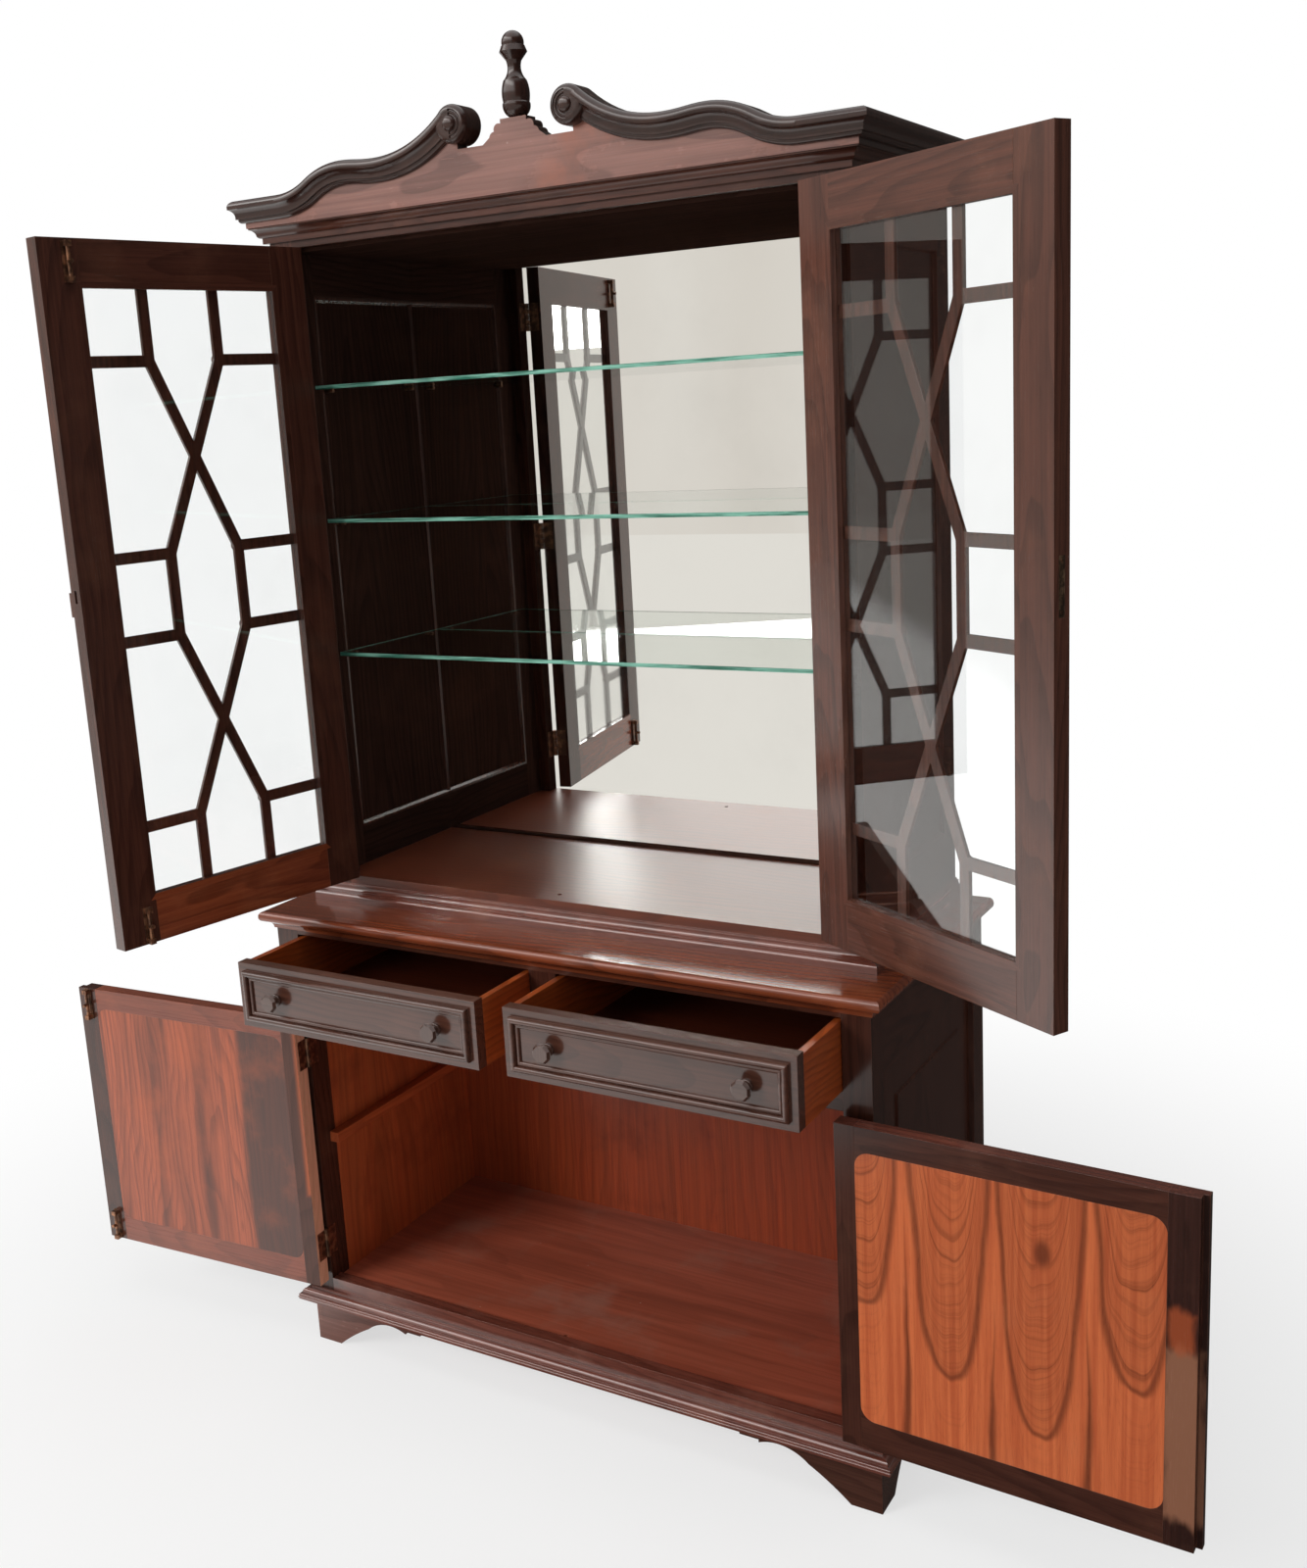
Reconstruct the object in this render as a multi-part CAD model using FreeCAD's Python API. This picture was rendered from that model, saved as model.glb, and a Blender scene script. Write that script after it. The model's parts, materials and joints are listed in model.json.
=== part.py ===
import FreeCAD
import Part
import math
import os

from FreeCAD import Vector

# Two-part hardwood china and book cabinet, shown open.
# Millimetres, +Z up, the front faces -Y, and x = 0 is the middle of the cabinet.
# While the pieces are made, y = 0 is the front face of the lower case and z = 0 the floor.
# The finished set is then moved along Y, so that the origin lies under the middle of the open cabinet.

OUT = "parts"
os.makedirs(OUT, exist_ok=True)

# Shared working values
board = 22.0                    # thickness of the main boards and rails
thin_board = 12.0               # back panels, linings and drawer bottoms
post = 44.0                     # square posts of the lower case, width of the upper face stiles
cut_over = 5.0                  # how far a cutter runs past the piece it cuts
seat = 0.3                      # clearance of pieces that slide or lift out
door_gap = 2.0                  # gap above, below and between the door leaves
hinge_gap = 1.0                 # gap at the hinged edge of a door leaf
drawer_gap = 1.0                # gap round a drawer front

# Lower case
lower_width = 1068.0
lower_depth = 474.0
lower_height = 800.0
top_board = 18.0
top_overhang = 21.0
top_round = 8.0
top_mould_height = 12.0
top_mould_reach = 13.0
foot_height = 82.0
base_mould_height = 22.0
base_mould_reach = 22.0
cupboard_sill = 127.0
floor_step = 5.0                # the cupboard floor lies this far below the sill
back_recess = 32.0              # the back panels lie this far in from the rear of the posts
drawer_opening_height = 109.0
drawer_rail_height = 29.0
drawer_rail_deep = 46.0
divider_width = 48.0
top_rail_height = 20.0
side_top_rail = 109.0
side_bottom_rail = 70.0
panel_recess = 8.0
panel_field_inset = 60.0
panel_field_rise = 3.0
panel_slip = 10.0               # width of the slip moulding round a sunk panel
field_bevel_share = 0.8         # of the rise of a field, and of the depth of a slip
batten_size = 18.0
batten_place_share = 0.502      # height of the battens between the cupboard floor and the drawer rail
batten_short = 30.0

# Bracket feet
foot_run = 230.0
foot_side_run = 150.0
foot_thick = 20.0
foot_toe = 49.0
foot_block = 30.0
foot_tail_share = 0.76          # the bracket's last lobe is this far up

# Drawers
drawer_out = 143.0              # how far the drawers stand open
drawer_length = 410.0
drawer_side = 11.0
drawer_bottom = 6.0
drawer_bottom_lift = 8.0
drawer_top_drop = 4.0
drawer_front_thick = 20.0
drawer_bead_inset = 12.0
drawer_bead_width = 9.0         # the outer, higher step of the moulding
drawer_bead_rise = 9.0
drawer_step_width = 7.0         # the inner, lower step
drawer_step_rise = 4.0
bead_round_share = 0.45         # rounding of a step's edges, of its width
knob_offset = 75.0              # middle of a knob from the end of its drawer front
knob_radius = 15.5
knob_thick = 9.0
knob_stem = 6.0
knob_stand = 13.0
knob_collar = 10.0
knob_collar_thick = 4.0
knob_collar_share = 0.45        # rounding of the collar, of its thickness
knob_face_inset = 3.0

# Lower doors
lower_left_open = 176.6         # degrees
lower_right_open = 178.0        # degrees
lower_door_thick = 24.0
lower_field_hinge = 30.0
lower_field_free = 39.0
lower_field_top = 36.0
lower_field_bottom = 45.0
lower_field_round = 22.0
lower_field_thick = 12.0
meeting_lap = 8.0

# Upper case
upper_width = 984.0
upper_setback = 99.0
upper_base_height = 42.0
upper_mould_height = 28.0
upper_mould_reach = 21.0
upper_opening_height = 1025.0
upper_side_thick = 22.0
upper_rail = 66.0
upper_slip = 8.0                # width of the slips round the panels of the sides
ceiling_drop = 5.0
frieze_height = 38.0
mirror_thick = 5.0
mirror_bead = 5.0               # square bead along the foot of the mirror
shelf_thick = 6.0
shelf_rise_shares = (0.365854, 0.583415, 0.794146)  # tops of the shelves, of the opening's height
shelf_front_back = 51.0         # shelf front edge behind the face of the upper case
pin_radius = 3.0
pin_out = 12.0
pin_front = 30.0
pin_rear = 30.0

# Upper doors
upper_left_open = 101.3         # degrees
upper_right_open = 151.0        # degrees
upper_door_thick = 24.0
upper_stile = 61.0
upper_top_rail = 66.0
upper_bottom_rail = 73.0
ovolo = 7.0
glass_thick = 3.0
glass_depth = 12.0              # from the outer face of the door to the glass
glass_rebate = 8.0
bead_width = 9.0
bar_width = 17.0
bar_depth = 10.0
bar_set = 1.0
bar_chamfer = 5.0
bar_column_offset = 60.0        # bars' columns each side of the middle of the glass
bar_end_rise = 101.0            # from the rails to the first crossing bars
bar_waist = 61.0                # from the middle of the glass to the inner crossing bars
lug_height = 35.0
lug_width = 8.0
lug_rise = 6.0
lug_middle_rise = 519.0         # above the floor of the upper case

# Hinges, two knuckles on the door leaf between three on the case leaf
hinge_height = 52.0
hinge_leaf = 1.6
hinge_barrel = 4.5
hinge_pin = 1.5
hinge_slack = 0.25
hinge_leaf_deep = 19.0
hinge_stand = 0.3               # clearance of the barrel from the faces of the wood
hinge_sink = 1.4                # how deep a leaf is let into the wood
knuckle_share = 0.2
upper_hinge_share = (0.09, 0.5, 0.91)
lower_hinge_share = (0.14, 0.86)

# Slide bolts on the inner faces of the left doors
bolt_plate_length = 56.0
bolt_plate_width = 13.0
bolt_plate_thick = 1.5
bolt_radius = 3.0
bolt_throw = 14.0
bolt_staple = 8.0
bolt_wall = 1.5
bolt_knob_radius = 3.0
bolt_knob_height = 6.0
bolt_end_gap = 1.0
upper_bolt_from_edge = 43.0
lower_bolt_from_edge = 22.0
socket_slack = 0.8

# Lock of the upper right door
lock_height = 70.0
lock_case_deep = 32.0
lock_case_wide = 9.0
lock_middle_rise = 531.0        # above the floor of the upper case
lock_bolt_height = 18.0
lock_bolt_wide = 5.0
lock_bolt_long = 24.0
lock_bolt_throw = 8.0
lock_slack = 0.4

# Cornice and pediment
architrave_drop = 28.0          # foot of the architrave below the top of the upper case
fascia_projection = 24.0
fascia_drop = 4.0
cornice_rise = 38.0             # top of the level cornice above the top of the upper case
crown_reach = 19.0
crown_height = 34.0
neck_start_x = 438.0
neck_crest_x = 308.0
neck_crest_rise = 35.0
neck_dip_x = 243.0
neck_dip_drop = 4.0
neck_hollow_share = 0.45        # of each double bend, the part that curves upwards
volute_x = 98.0
volute_top_rise = 86.0          # top of the volute above the level part of the cornice
volute_radius = 27.0
volute_round = 9.0              # rounding of the volute's front edge
coil_radius = 18.0              # the carved coil's outermost half turn
coil_pitch = 2.6                # how much each half turn is tighter than the last
coil_groove = 2.0
coil_turns = 3                  # half turns
boss_radius = 10.5
boss_rise = 6.0
plinth_rise = 57.0              # top of the finial's plinth above the level cornice
plinth_half = 22.0
notch_x = 54.0
notch_rise = 26.0
lobe_radius = 8.0
lobe_count = 3
finial_height = 115.0
finial_radius = 19.7
finial_head_radius = 15.8
finial_spigot = 6.0
finial_spigot_deep = 15.0

# Outlines as shares, each pair along its projection and its height.
# A step of one point is a straight edge, and of two an arc through the first to the second.
base_steps_share = (
    ((0.95, 0.0),), ((0.95, 0.10),), ((1.0, 0.19), (0.90, 0.28)), ((0.95, 0.38), (0.80, 0.46)),
    ((0.72, 0.48),), ((0.66, 0.74), (0.30, 0.84)), ((0.18, 0.84),), ((0.18, 1.0),), ((0.0, 1.0),),
)
upper_base_steps_share = (
    ((1.0, 0.0),), ((1.0, 0.22),), ((0.94, 0.44), (0.66, 0.52)), ((0.36, 0.60), (0.28, 0.90)),
    ((0.12, 0.90),), ((0.12, 1.0),), ((0.0, 1.0),),
)
cavetto_steps_share = (((0.25, 0.0),), ((0.42, 0.60), (1.0, 1.0)), ((0.0, 1.0),))
architrave_steps_share = (
    ((0.31, 0.0),), ((0.31, 0.36),), ((0.44, 0.38), (0.57, 0.52)), ((0.70, 0.80), (0.92, 0.92)),
    ((0.92, 1.0),), ((0.0, 1.0),),
)
crown_steps_share = (
    ((0.42, 0.0),), ((0.88, 0.10), (1.0, 0.38)), ((0.70, 0.50), (0.56, 0.74)), ((0.56, 0.82),),
    ((0.40, 0.82),), ((0.34, 0.95), (0.14, 1.0)), ((0.0, 1.0),),
)
bracket_steps_share = (
    ((0.24, 0.33), (0.45, 0.56)), ((0.72, 0.78), (1.0, 0.70)), ((1.0, 1.0),), ((0.0, 1.0),),
)
bracket_cusp_share = 0.86       # of the foot's run, where its curved edge ends
finial_steps_share = (
    ((0.43, 0.0),), ((0.82, 0.05), (1.0, 0.165)), ((0.94, 0.18),), ((1.0, 0.30), (0.84, 0.43)),
    ((0.50, 0.54), (0.56, 0.66)), ((1.0, 0.755),), ((0.84, 0.825),), ((0.0, 0.825),),
)

# Places that follow from the sizes above
lower_half = lower_width / 2
opening_half = lower_half - post
top_under = lower_height - top_board
top_rail_z = top_under - top_rail_height
drawer_opening_z = top_rail_z - drawer_opening_height
drawer_rail_z = drawer_opening_z - drawer_rail_height
floor_top = cupboard_sill - floor_step
batten_z = floor_top + (drawer_rail_z - floor_top) * batten_place_share
back_front_y = lower_depth - back_recess - thin_board
upper_half = upper_width / 2
upper_front = upper_setback
upper_hinge_half = upper_half - post
upper_wall = upper_half - upper_side_thick
upper_sunk = (upper_side_thick - thin_board) / 2
upper_floor_top = lower_height + upper_base_height
upper_opening_top = upper_floor_top + upper_opening_height
shelf_tops = tuple(upper_floor_top + upper_opening_height * share for share in shelf_rise_shares)
lug_middle_z = upper_floor_top + lug_middle_rise
lock_middle_z = upper_floor_top + lock_middle_rise
ceiling_under = upper_opening_top - ceiling_drop
upper_top = upper_opening_top + frieze_height
architrave_z = upper_top - architrave_drop
fascia_z = upper_top - fascia_drop
cornice_top = upper_top + cornice_rise
plinth_top_z = cornice_top + plinth_rise
notch_z = cornice_top + notch_rise
mirror_y = back_front_y - thin_board / 2
shelf_front = upper_front + shelf_front_back
upper_door_zone = upper_front + upper_door_thick
fascia_y = upper_front - fascia_projection
volute_z = cornice_top + volute_top_rise - volute_radius
pin_offset = hinge_barrel + hinge_stand
lower_leaf_z = cupboard_sill + door_gap
lower_leaf_top = drawer_rail_z - door_gap
upper_leaf_z = upper_floor_top + door_gap
upper_leaf_top = upper_opening_top - door_gap
lower_leaf_width = opening_half - hinge_gap - door_gap / 2
upper_leaf_width = upper_hinge_half - hinge_gap - door_gap / 2
lower_pin_x = opening_half - hinge_gap / 2
upper_pin_x = upper_hinge_half - hinge_gap / 2

nodes = {}


def box(x0, x1, y0, y1, z0, z1):
    """Block between two corners."""
    return Part.makeBox(x1 - x0, y1 - y0, z1 - z0, Vector(x0, y0, z0))


def rod(radius, length, at, direction):
    """Round bar from a point along a direction."""
    return Part.makeCylinder(radius, length, at, direction)


def mirrored(shape):
    """The same piece on the other side of the cabinet's middle."""
    return shape.mirror(Vector(0, 0, 0), Vector(1, 0, 0))


def closed_wire(start, steps, place):
    """Closed wire of lines and arcs, each plane point put in space by place."""
    edges = []
    here = start
    for step in steps:
        if len(step) == 1:
            edge = Part.LineSegment(place(*here), place(*step[0]))
        else:
            edge = Part.Arc(place(*here), place(*step[0]), place(*step[1]))
        edges.append(edge.toShape())
        here = step[-1]
    if here != start:
        edges.append(Part.LineSegment(place(*here), place(*start)).toShape())
    return Part.Wire(edges)


def prism(points, place, run):
    """Straight prism on a polygon."""
    corners = [place(*point) for point in points]
    return Part.Face(Part.makePolygon(corners + corners[:1])).extrude(run)


def wrapped_moulding(steps_share, reach, height, half, front, back, z):
    """A moulding round the front and both sides, mitred at the front corners.

    The outline is given in shares of the reach and the height, from the foot of the moulding up.
    """
    def front_place(p, h):
        return Vector(-half - reach, front - p * reach, z + h * height)

    def side_place(p, h):
        return Vector(half + p * reach, front - reach, z + h * height)

    def plan(x, y):
        return Vector(x, y, z - abs(height))

    rise = Vector(0, 0, 3 * abs(height))
    front_run = Part.Face(closed_wire((0.0, 0.0), steps_share, front_place))
    front_run = front_run.extrude(Vector(2 * (half + reach), 0, 0))
    end = half + reach
    front_zone = [(-end, front - reach), (end, front - reach), (half, front), (-half, front)]
    side_run = Part.Face(closed_wire((0.0, 0.0), steps_share, side_place))
    side_run = side_run.extrude(Vector(0, back - front + reach, 0))
    side_zone = [(half, front), (end, front - reach), (end, back), (half, back)]
    front_piece = front_run.common(prism(front_zone, plan, rise))
    side_piece = side_run.common(prism(side_zone, plan, rise))
    return front_piece, side_piece, mirrored(side_piece)


def ring_strips(x0, x1, y0, y1, z0, z1, width):
    """Four strips round a rectangle, mitred at the corners."""
    def place(x, z):
        return Vector(x, y0, z)

    deep = Vector(0, y1 - y0, 0)
    outer = [(x0, z0), (x1, z0), (x1, z1), (x0, z1)]
    in_x0, in_x1 = x0 + width, x1 - width
    in_z0, in_z1 = z0 + width, z1 - width
    inner = [(in_x0, in_z0), (in_x1, in_z0), (in_x1, in_z1), (in_x0, in_z1)]
    strips = []
    for index in range(4):
        after = (index + 1) % 4
        strips.append(prism([outer[index], outer[after], inner[after], inner[index]], place, deep))
    return strips


def hinge_heights(low, high, shares):
    """Middle heights of the hinges on a leaf."""
    return [low + (high - low) * share for share in shares]


# Lower case

def make_lower_top():
    """Top board, rounded along its front and side edges."""
    end = lower_half + top_overhang
    slab = box(-end, end, -top_overhang, lower_depth, top_under, lower_height)
    rounded = []
    for edge in slab.Edges:
        bounds = edge.BoundBox
        if bounds.ZLength > seat or bounds.YMin > lower_depth - seat:
            continue
        rounded.append(edge)
    nodes["lower_top"] = [slab.makeFillet(top_round, rounded)]


def make_lower_side():
    """One side: two posts, two rails, a sunk panel with a raised field, its slips and the inner lining."""
    outer = lower_half
    inner = opening_half
    panel_z0 = foot_height + side_bottom_rail
    panel_z1 = top_under - side_top_rail
    panel_y0 = post
    panel_y1 = lower_depth - post
    pieces = [
        box(inner, outer, 0, post, foot_height, top_under),
        box(inner, outer, panel_y1, lower_depth, foot_height, top_under),
        box(outer - board, outer, panel_y0, panel_y1, foot_height, panel_z0),
        box(outer - board, outer, panel_y0, panel_y1, panel_z1, top_under),
        box(inner, outer - board, panel_y0, panel_y1, foot_height + base_mould_height, top_under),
    ]
    panel_face = outer - panel_recess
    panel = box(outer - board, panel_face, panel_y0, panel_y1, panel_z0, panel_z1)
    inset = panel_field_inset
    field_face = panel_face + panel_field_rise
    field = box(
        panel_face, field_face, panel_y0 + inset, panel_y1 - inset, panel_z0 + inset, panel_z1 - inset,
    )
    field = field.makeChamfer(panel_field_rise * field_bevel_share, field_edges(field, field_face))
    pieces.append(panel.fuse(field))
    slip = box(panel_face, outer, panel_y0, panel_y1, panel_z0, panel_z1)
    slip = slip.cut(box(
        panel_face - cut_over, outer + cut_over, panel_y0 + panel_slip, panel_y1 - panel_slip,
        panel_z0 + panel_slip, panel_z1 - panel_slip,
    ))
    pieces.append(slip.makeChamfer(panel_recess * field_bevel_share, slip_edges(slip, outer)))
    return pieces


def field_edges(shape, x):
    """Edges of a block's face at x."""
    return [edge for edge in shape.Edges if edge.BoundBox.XMin > x - seat]


def slip_edges(shape, x):
    """Inner edges of a slip's ring on its outer face at x."""
    limits = shape.BoundBox
    found = []
    for edge in field_edges(shape, x):
        bounds = edge.BoundBox
        inside_y = bounds.YMin > limits.YMin + seat and bounds.YMax < limits.YMax - seat
        inside_z = bounds.ZMin > limits.ZMin + seat and bounds.ZMax < limits.ZMax - seat
        if inside_y and inside_z:
            found.append(edge)
    return found


def make_lower_sides():
    """Both sides, with mortises for the hinge leaves in the front posts."""
    right = make_lower_side()
    cutters = []
    for z in hinge_heights(lower_leaf_z, lower_leaf_top, lower_hinge_share):
        cutters.append(hinge_mortise(opening_half, 0, z))
    for cutter in cutters:
        right[0] = right[0].cut(cutter)
    nodes["lower_side_right"] = right
    nodes["lower_side_left"] = [mirrored(piece) for piece in right]


def hinge_mortise(edge_x, face_y, z):
    """Shallow seat for a case leaf, in the edge of a stile on the right."""
    half = hinge_height / 2
    leaf_end = face_y + hinge_leaf_deep
    return box(edge_x - cut_over, edge_x + hinge_sink, face_y - cut_over, leaf_end, z - half, z + half)


def bolt_place(hinge_half, leaf_width, from_edge, face_y, leaf_thick):
    """Where a bolt of a closed left door stands: x and y of its rod."""
    x = -hinge_half + hinge_gap + leaf_width - from_edge
    y = face_y + leaf_thick + bolt_plate_thick + bolt_radius + bolt_wall
    return x, y


def bolt_socket(x, y, z):
    """The hole that a thrown bolt enters, upwards from z."""
    return rod(bolt_radius + socket_slack, bolt_throw + cut_over, Vector(x, y, z), Vector(0, 0, 1))


def make_lower_front():
    """Rails and drawer divider between the posts, with the socket of the upper bolt."""
    x, y = bolt_place(opening_half, lower_leaf_width, lower_bolt_from_edge, 0, lower_door_thick)
    drawer_rail = box(-opening_half, opening_half, 0, drawer_rail_deep, drawer_rail_z, drawer_opening_z)
    socket = bolt_socket(x, y, drawer_rail_z - cut_over)
    nodes["lower_front_rails"] = [
        box(-opening_half, opening_half, 0, board, top_rail_z, top_under),
        drawer_rail.cut(socket),
        box(-divider_width / 2, divider_width / 2, 0, board, drawer_opening_z, top_rail_z),
        box(-opening_half, opening_half, 0, board, foot_height, cupboard_sill),
    ]


def make_lower_inside():
    """Cupboard floor, board under the drawers with its guides, side battens and the framed back."""
    x, y = bolt_place(opening_half, lower_leaf_width, lower_bolt_from_edge, 0, lower_door_thick)
    floor = box(-opening_half, opening_half, board, back_front_y, floor_top - board, floor_top)
    socket = bolt_socket(x, y, floor_top - bolt_throw)
    nodes["lower_floor"] = [floor.cut(socket)]
    top = drawer_opening_z
    nodes["drawer_board"] = [
        box(-opening_half, opening_half, drawer_rail_deep, back_front_y, top - thin_board, top),
        box(-thin_board, thin_board, drawer_rail_deep, back_front_y, top, top + post),
    ]
    y0 = batten_short
    y1 = back_front_y - batten_short
    batten = box(opening_half - batten_size, opening_half, y0, y1, batten_z, batten_z + batten_size)
    nodes["cupboard_battens"] = [batten, mirrored(batten)]
    frame_y = back_front_y + thin_board
    frame_end = frame_y + board
    low = foot_height
    nodes["lower_back"] = [
        box(-opening_half, opening_half, back_front_y, frame_y, low, top_under),
        box(-opening_half, opening_half, frame_y, frame_end, low, low + side_bottom_rail),
        box(-opening_half, opening_half, frame_y, frame_end, top_under - side_bottom_rail, top_under),
        box(-post, post, frame_y, frame_end, low + side_bottom_rail, top_under - side_bottom_rail),
    ]


def bracket(run, thick):
    """Shaped bracket board along +x from the outer corner, its front face on y = 0."""
    curve = run * bracket_cusp_share - foot_toe

    def place(share_x, share_z):
        return Vector(foot_toe + share_x * curve, 0, share_z * foot_height)

    toe = box(0, foot_toe, 0, thick, 0, foot_height)
    wing = Part.Face(closed_wire((0.0, 0.0), bracket_steps_share, place)).extrude(Vector(0, thick, 0))
    tail = box(foot_toe + curve, run, 0, thick, foot_height * foot_tail_share, foot_height)
    return toe.fuse([wing, tail]).removeSplitter()


def make_feet():
    """Bracket feet: a front and a side board with a glue block in each front corner, and two rear feet."""
    front = bracket(foot_run, foot_thick)
    front.translate(Vector(-lower_half, 0, 0))
    side = bracket(foot_side_run, foot_thick)
    side.rotate(Vector(0, 0, 0), Vector(0, 0, 1), 90)
    x0 = -lower_half + foot_thick
    side.translate(Vector(x0, 0, 0))
    side = side.cut(box(-lower_half, x0, -cut_over, foot_thick, -cut_over, foot_height + cut_over))
    block = box(x0, x0 + foot_block, foot_thick, foot_thick + foot_block, 0, foot_height)
    left = [front, side, block]
    nodes["foot_front_left"] = left
    nodes["foot_front_right"] = [mirrored(piece) for piece in left]
    rear = side.mirror(Vector(0, lower_depth / 2, 0), Vector(0, 1, 0))
    rear_end = lower_depth - foot_thick
    rear_plate = box(-lower_half, x0 + foot_block, rear_end, lower_depth, 0, foot_height)
    rear_block = box(x0, x0 + foot_block, rear_end - foot_block, rear_end, 0, foot_height)
    rear_left = [rear, rear_plate, rear_block]
    nodes["feet_rear"] = rear_left + [mirrored(piece) for piece in rear_left]


def make_lower_mouldings():
    """Cavetto under the top and the moulding round the base."""
    nodes["lower_top_mould"] = list(wrapped_moulding(
        cavetto_steps_share, top_mould_reach, top_mould_height, lower_half, 0, lower_depth,
        top_under - top_mould_height,
    ))
    nodes["base_mould"] = list(wrapped_moulding(
        base_steps_share, base_mould_reach, base_mould_height, lower_half, 0, lower_depth, foot_height,
    ))


# Drawers

def knob(x, z, y):
    """Turned knob with an eight-sided face, on a stem from the drawer front."""
    root = Vector(x, y, z)
    stem = rod(knob_stem, knob_stand, root, Vector(0, -1, 0))
    collar = rod(knob_collar, knob_collar_thick, root, Vector(0, -1, 0))
    edges = [edge for edge in collar.Edges if edge.BoundBox.YMax < y - seat]
    collar = collar.makeFillet(knob_collar_thick * knob_collar_share, edges)
    neck = Vector(x, y - knob_stand, z)
    head = Part.makeCone(knob_stem, knob_radius, knob_thick / 2, neck, Vector(0, -1, 0))
    face_y = y - knob_stand - knob_thick / 2
    corners = []
    for turn in range(8):
        angle = math.radians(360 / 8 * (turn + 0.5))
        corners.append((math.cos(angle), math.sin(angle)))
    wires = []
    for radius, drop in ((knob_radius, 0), (knob_radius - knob_face_inset, knob_thick / 2)):
        ring = [Vector(x + radius * c, face_y - drop, z + radius * s) for c, s in corners]
        wires.append(Part.makePolygon(ring + ring[:1]))
    return stem.fuse([collar, head, Part.makeLoft(wires, True, True)])


def front_bead(x0, x1, z0, z1, y, width, rise):
    """A raised frame on a drawer front between its outer edges, its own edges rounded."""
    bead = box(x0, x1, y - rise, y, z0, z1)
    bead = bead.cut(box(
        x0 + width, x1 - width, y - rise - cut_over, y + cut_over, z0 + width, z1 - width,
    ))
    face_edges = [edge for edge in bead.Edges if edge.BoundBox.YMax < y - rise + seat]
    return bead.makeFillet(width * bead_round_share, face_edges)


def make_drawer(side, name):
    """One drawer: moulded front, open box and two knobs. side is -1 on the left and 1 on the right."""
    near = divider_width / 2 + drawer_gap
    far = opening_half - drawer_gap
    x0, x1 = (near, far) if side > 0 else (-far, -near)
    z0 = drawer_opening_z + drawer_gap
    z1 = top_rail_z - drawer_gap
    y0 = -drawer_out
    front = box(x0, x1, y0, y0 + drawer_front_thick, z0, z1)
    inset = drawer_bead_inset
    bead = front_bead(
        x0 + inset, x1 - inset, z0 + inset, z1 - inset, y0, drawer_bead_width, drawer_bead_rise,
    )
    inset = drawer_bead_inset + drawer_bead_width
    step = front_bead(
        x0 + inset, x1 - inset, z0 + inset, z1 - inset, y0, drawer_step_width, drawer_step_rise,
    )
    nodes[name + "_front"] = [front, bead.fuse(step)]
    middle_z = (z0 + z1) / 2
    nodes[name + "_knobs"] = [knob(x, middle_z, y0) for x in (x0 + knob_offset, x1 - knob_offset)]
    back = y0 + drawer_length
    start = y0 + drawer_front_thick
    low = drawer_opening_z + seat
    high = z1 - drawer_top_drop
    side_x0 = x0 + seat
    side_x1 = x1 - seat
    inner_x0 = side_x0 + drawer_side
    inner_x1 = side_x1 - drawer_side
    bottom_z = low + drawer_bottom_lift
    nodes[name + "_box"] = [
        box(side_x0, inner_x0, start, back, low, high),
        box(inner_x1, side_x1, start, back, low, high),
        box(inner_x0, inner_x1, back - drawer_side, back, low, high),
        box(inner_x0, inner_x1, start, back - drawer_side, bottom_z, bottom_z + drawer_bottom),
    ]


# Hinges, built for a door hung on the right, with the pin over the joint of stile and door


def hinge_leaf_piece(pin_x, pin_y, z, into, knuckles):
    """A leaf with some of the five knuckles. into is 1 for the case side (+x) and -1 for the door side."""
    half = hinge_height / 2
    knuckle = hinge_height * knuckle_share
    flat_x = hinge_gap / 2 + hinge_sink - hinge_leaf
    near = pin_x + into * flat_x
    far = near + into * hinge_leaf
    x0, x1 = min(near, far), max(near, far)
    leaf_end = pin_y + pin_offset + hinge_leaf_deep
    plate = box(x0, x1, pin_y + pin_offset, leaf_end, z - half, z + half)
    foot = Vector(pin_x, pin_y, z - half - cut_over)
    bore = rod(hinge_pin + hinge_slack, hinge_height + 2 * cut_over, foot, Vector(0, 0, 1))
    web_y = pin_y + hinge_pin + hinge_slack
    web_end = pin_y + pin_offset + hinge_leaf
    shapes = []
    for index in knuckles:
        z0 = z - half + index * knuckle + hinge_slack
        tall = knuckle - 2 * hinge_slack
        shapes.append(rod(hinge_barrel, tall, Vector(pin_x, pin_y, z0), Vector(0, 0, 1)))
        shapes.append(box(x0, x1, web_y, web_end, z0, z0 + tall))
    return plate.fuse(shapes).cut(bore)


def hinge_set(pin_x, pin_y, heights):
    """Case leaves with their pins, and door leaves, for a door hung on the right."""
    case_side = []
    door_side = []
    for z in heights:
        case_side.append(hinge_leaf_piece(pin_x, pin_y, z, 1, (0, 2, 4)))
        foot = Vector(pin_x, pin_y, z - hinge_height / 2)
        case_side.append(rod(hinge_pin, hinge_height, foot, Vector(0, 0, 1)))
        door_side.append(hinge_leaf_piece(pin_x, pin_y, z, -1, (1, 3)))
    return case_side, door_side


def door_mortises(edge_x, face_y, heights):
    """Seats for the door leaves in the hinge edge of a right-hand door."""
    half = hinge_height / 2
    x0, x1 = edge_x - hinge_sink, edge_x + cut_over
    y0, y1 = face_y - cut_over, face_y + hinge_leaf_deep
    return [box(x0, x1, y0, y1, z - half, z + half) for z in heights]


# Slide bolts, built for a closed left door

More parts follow.
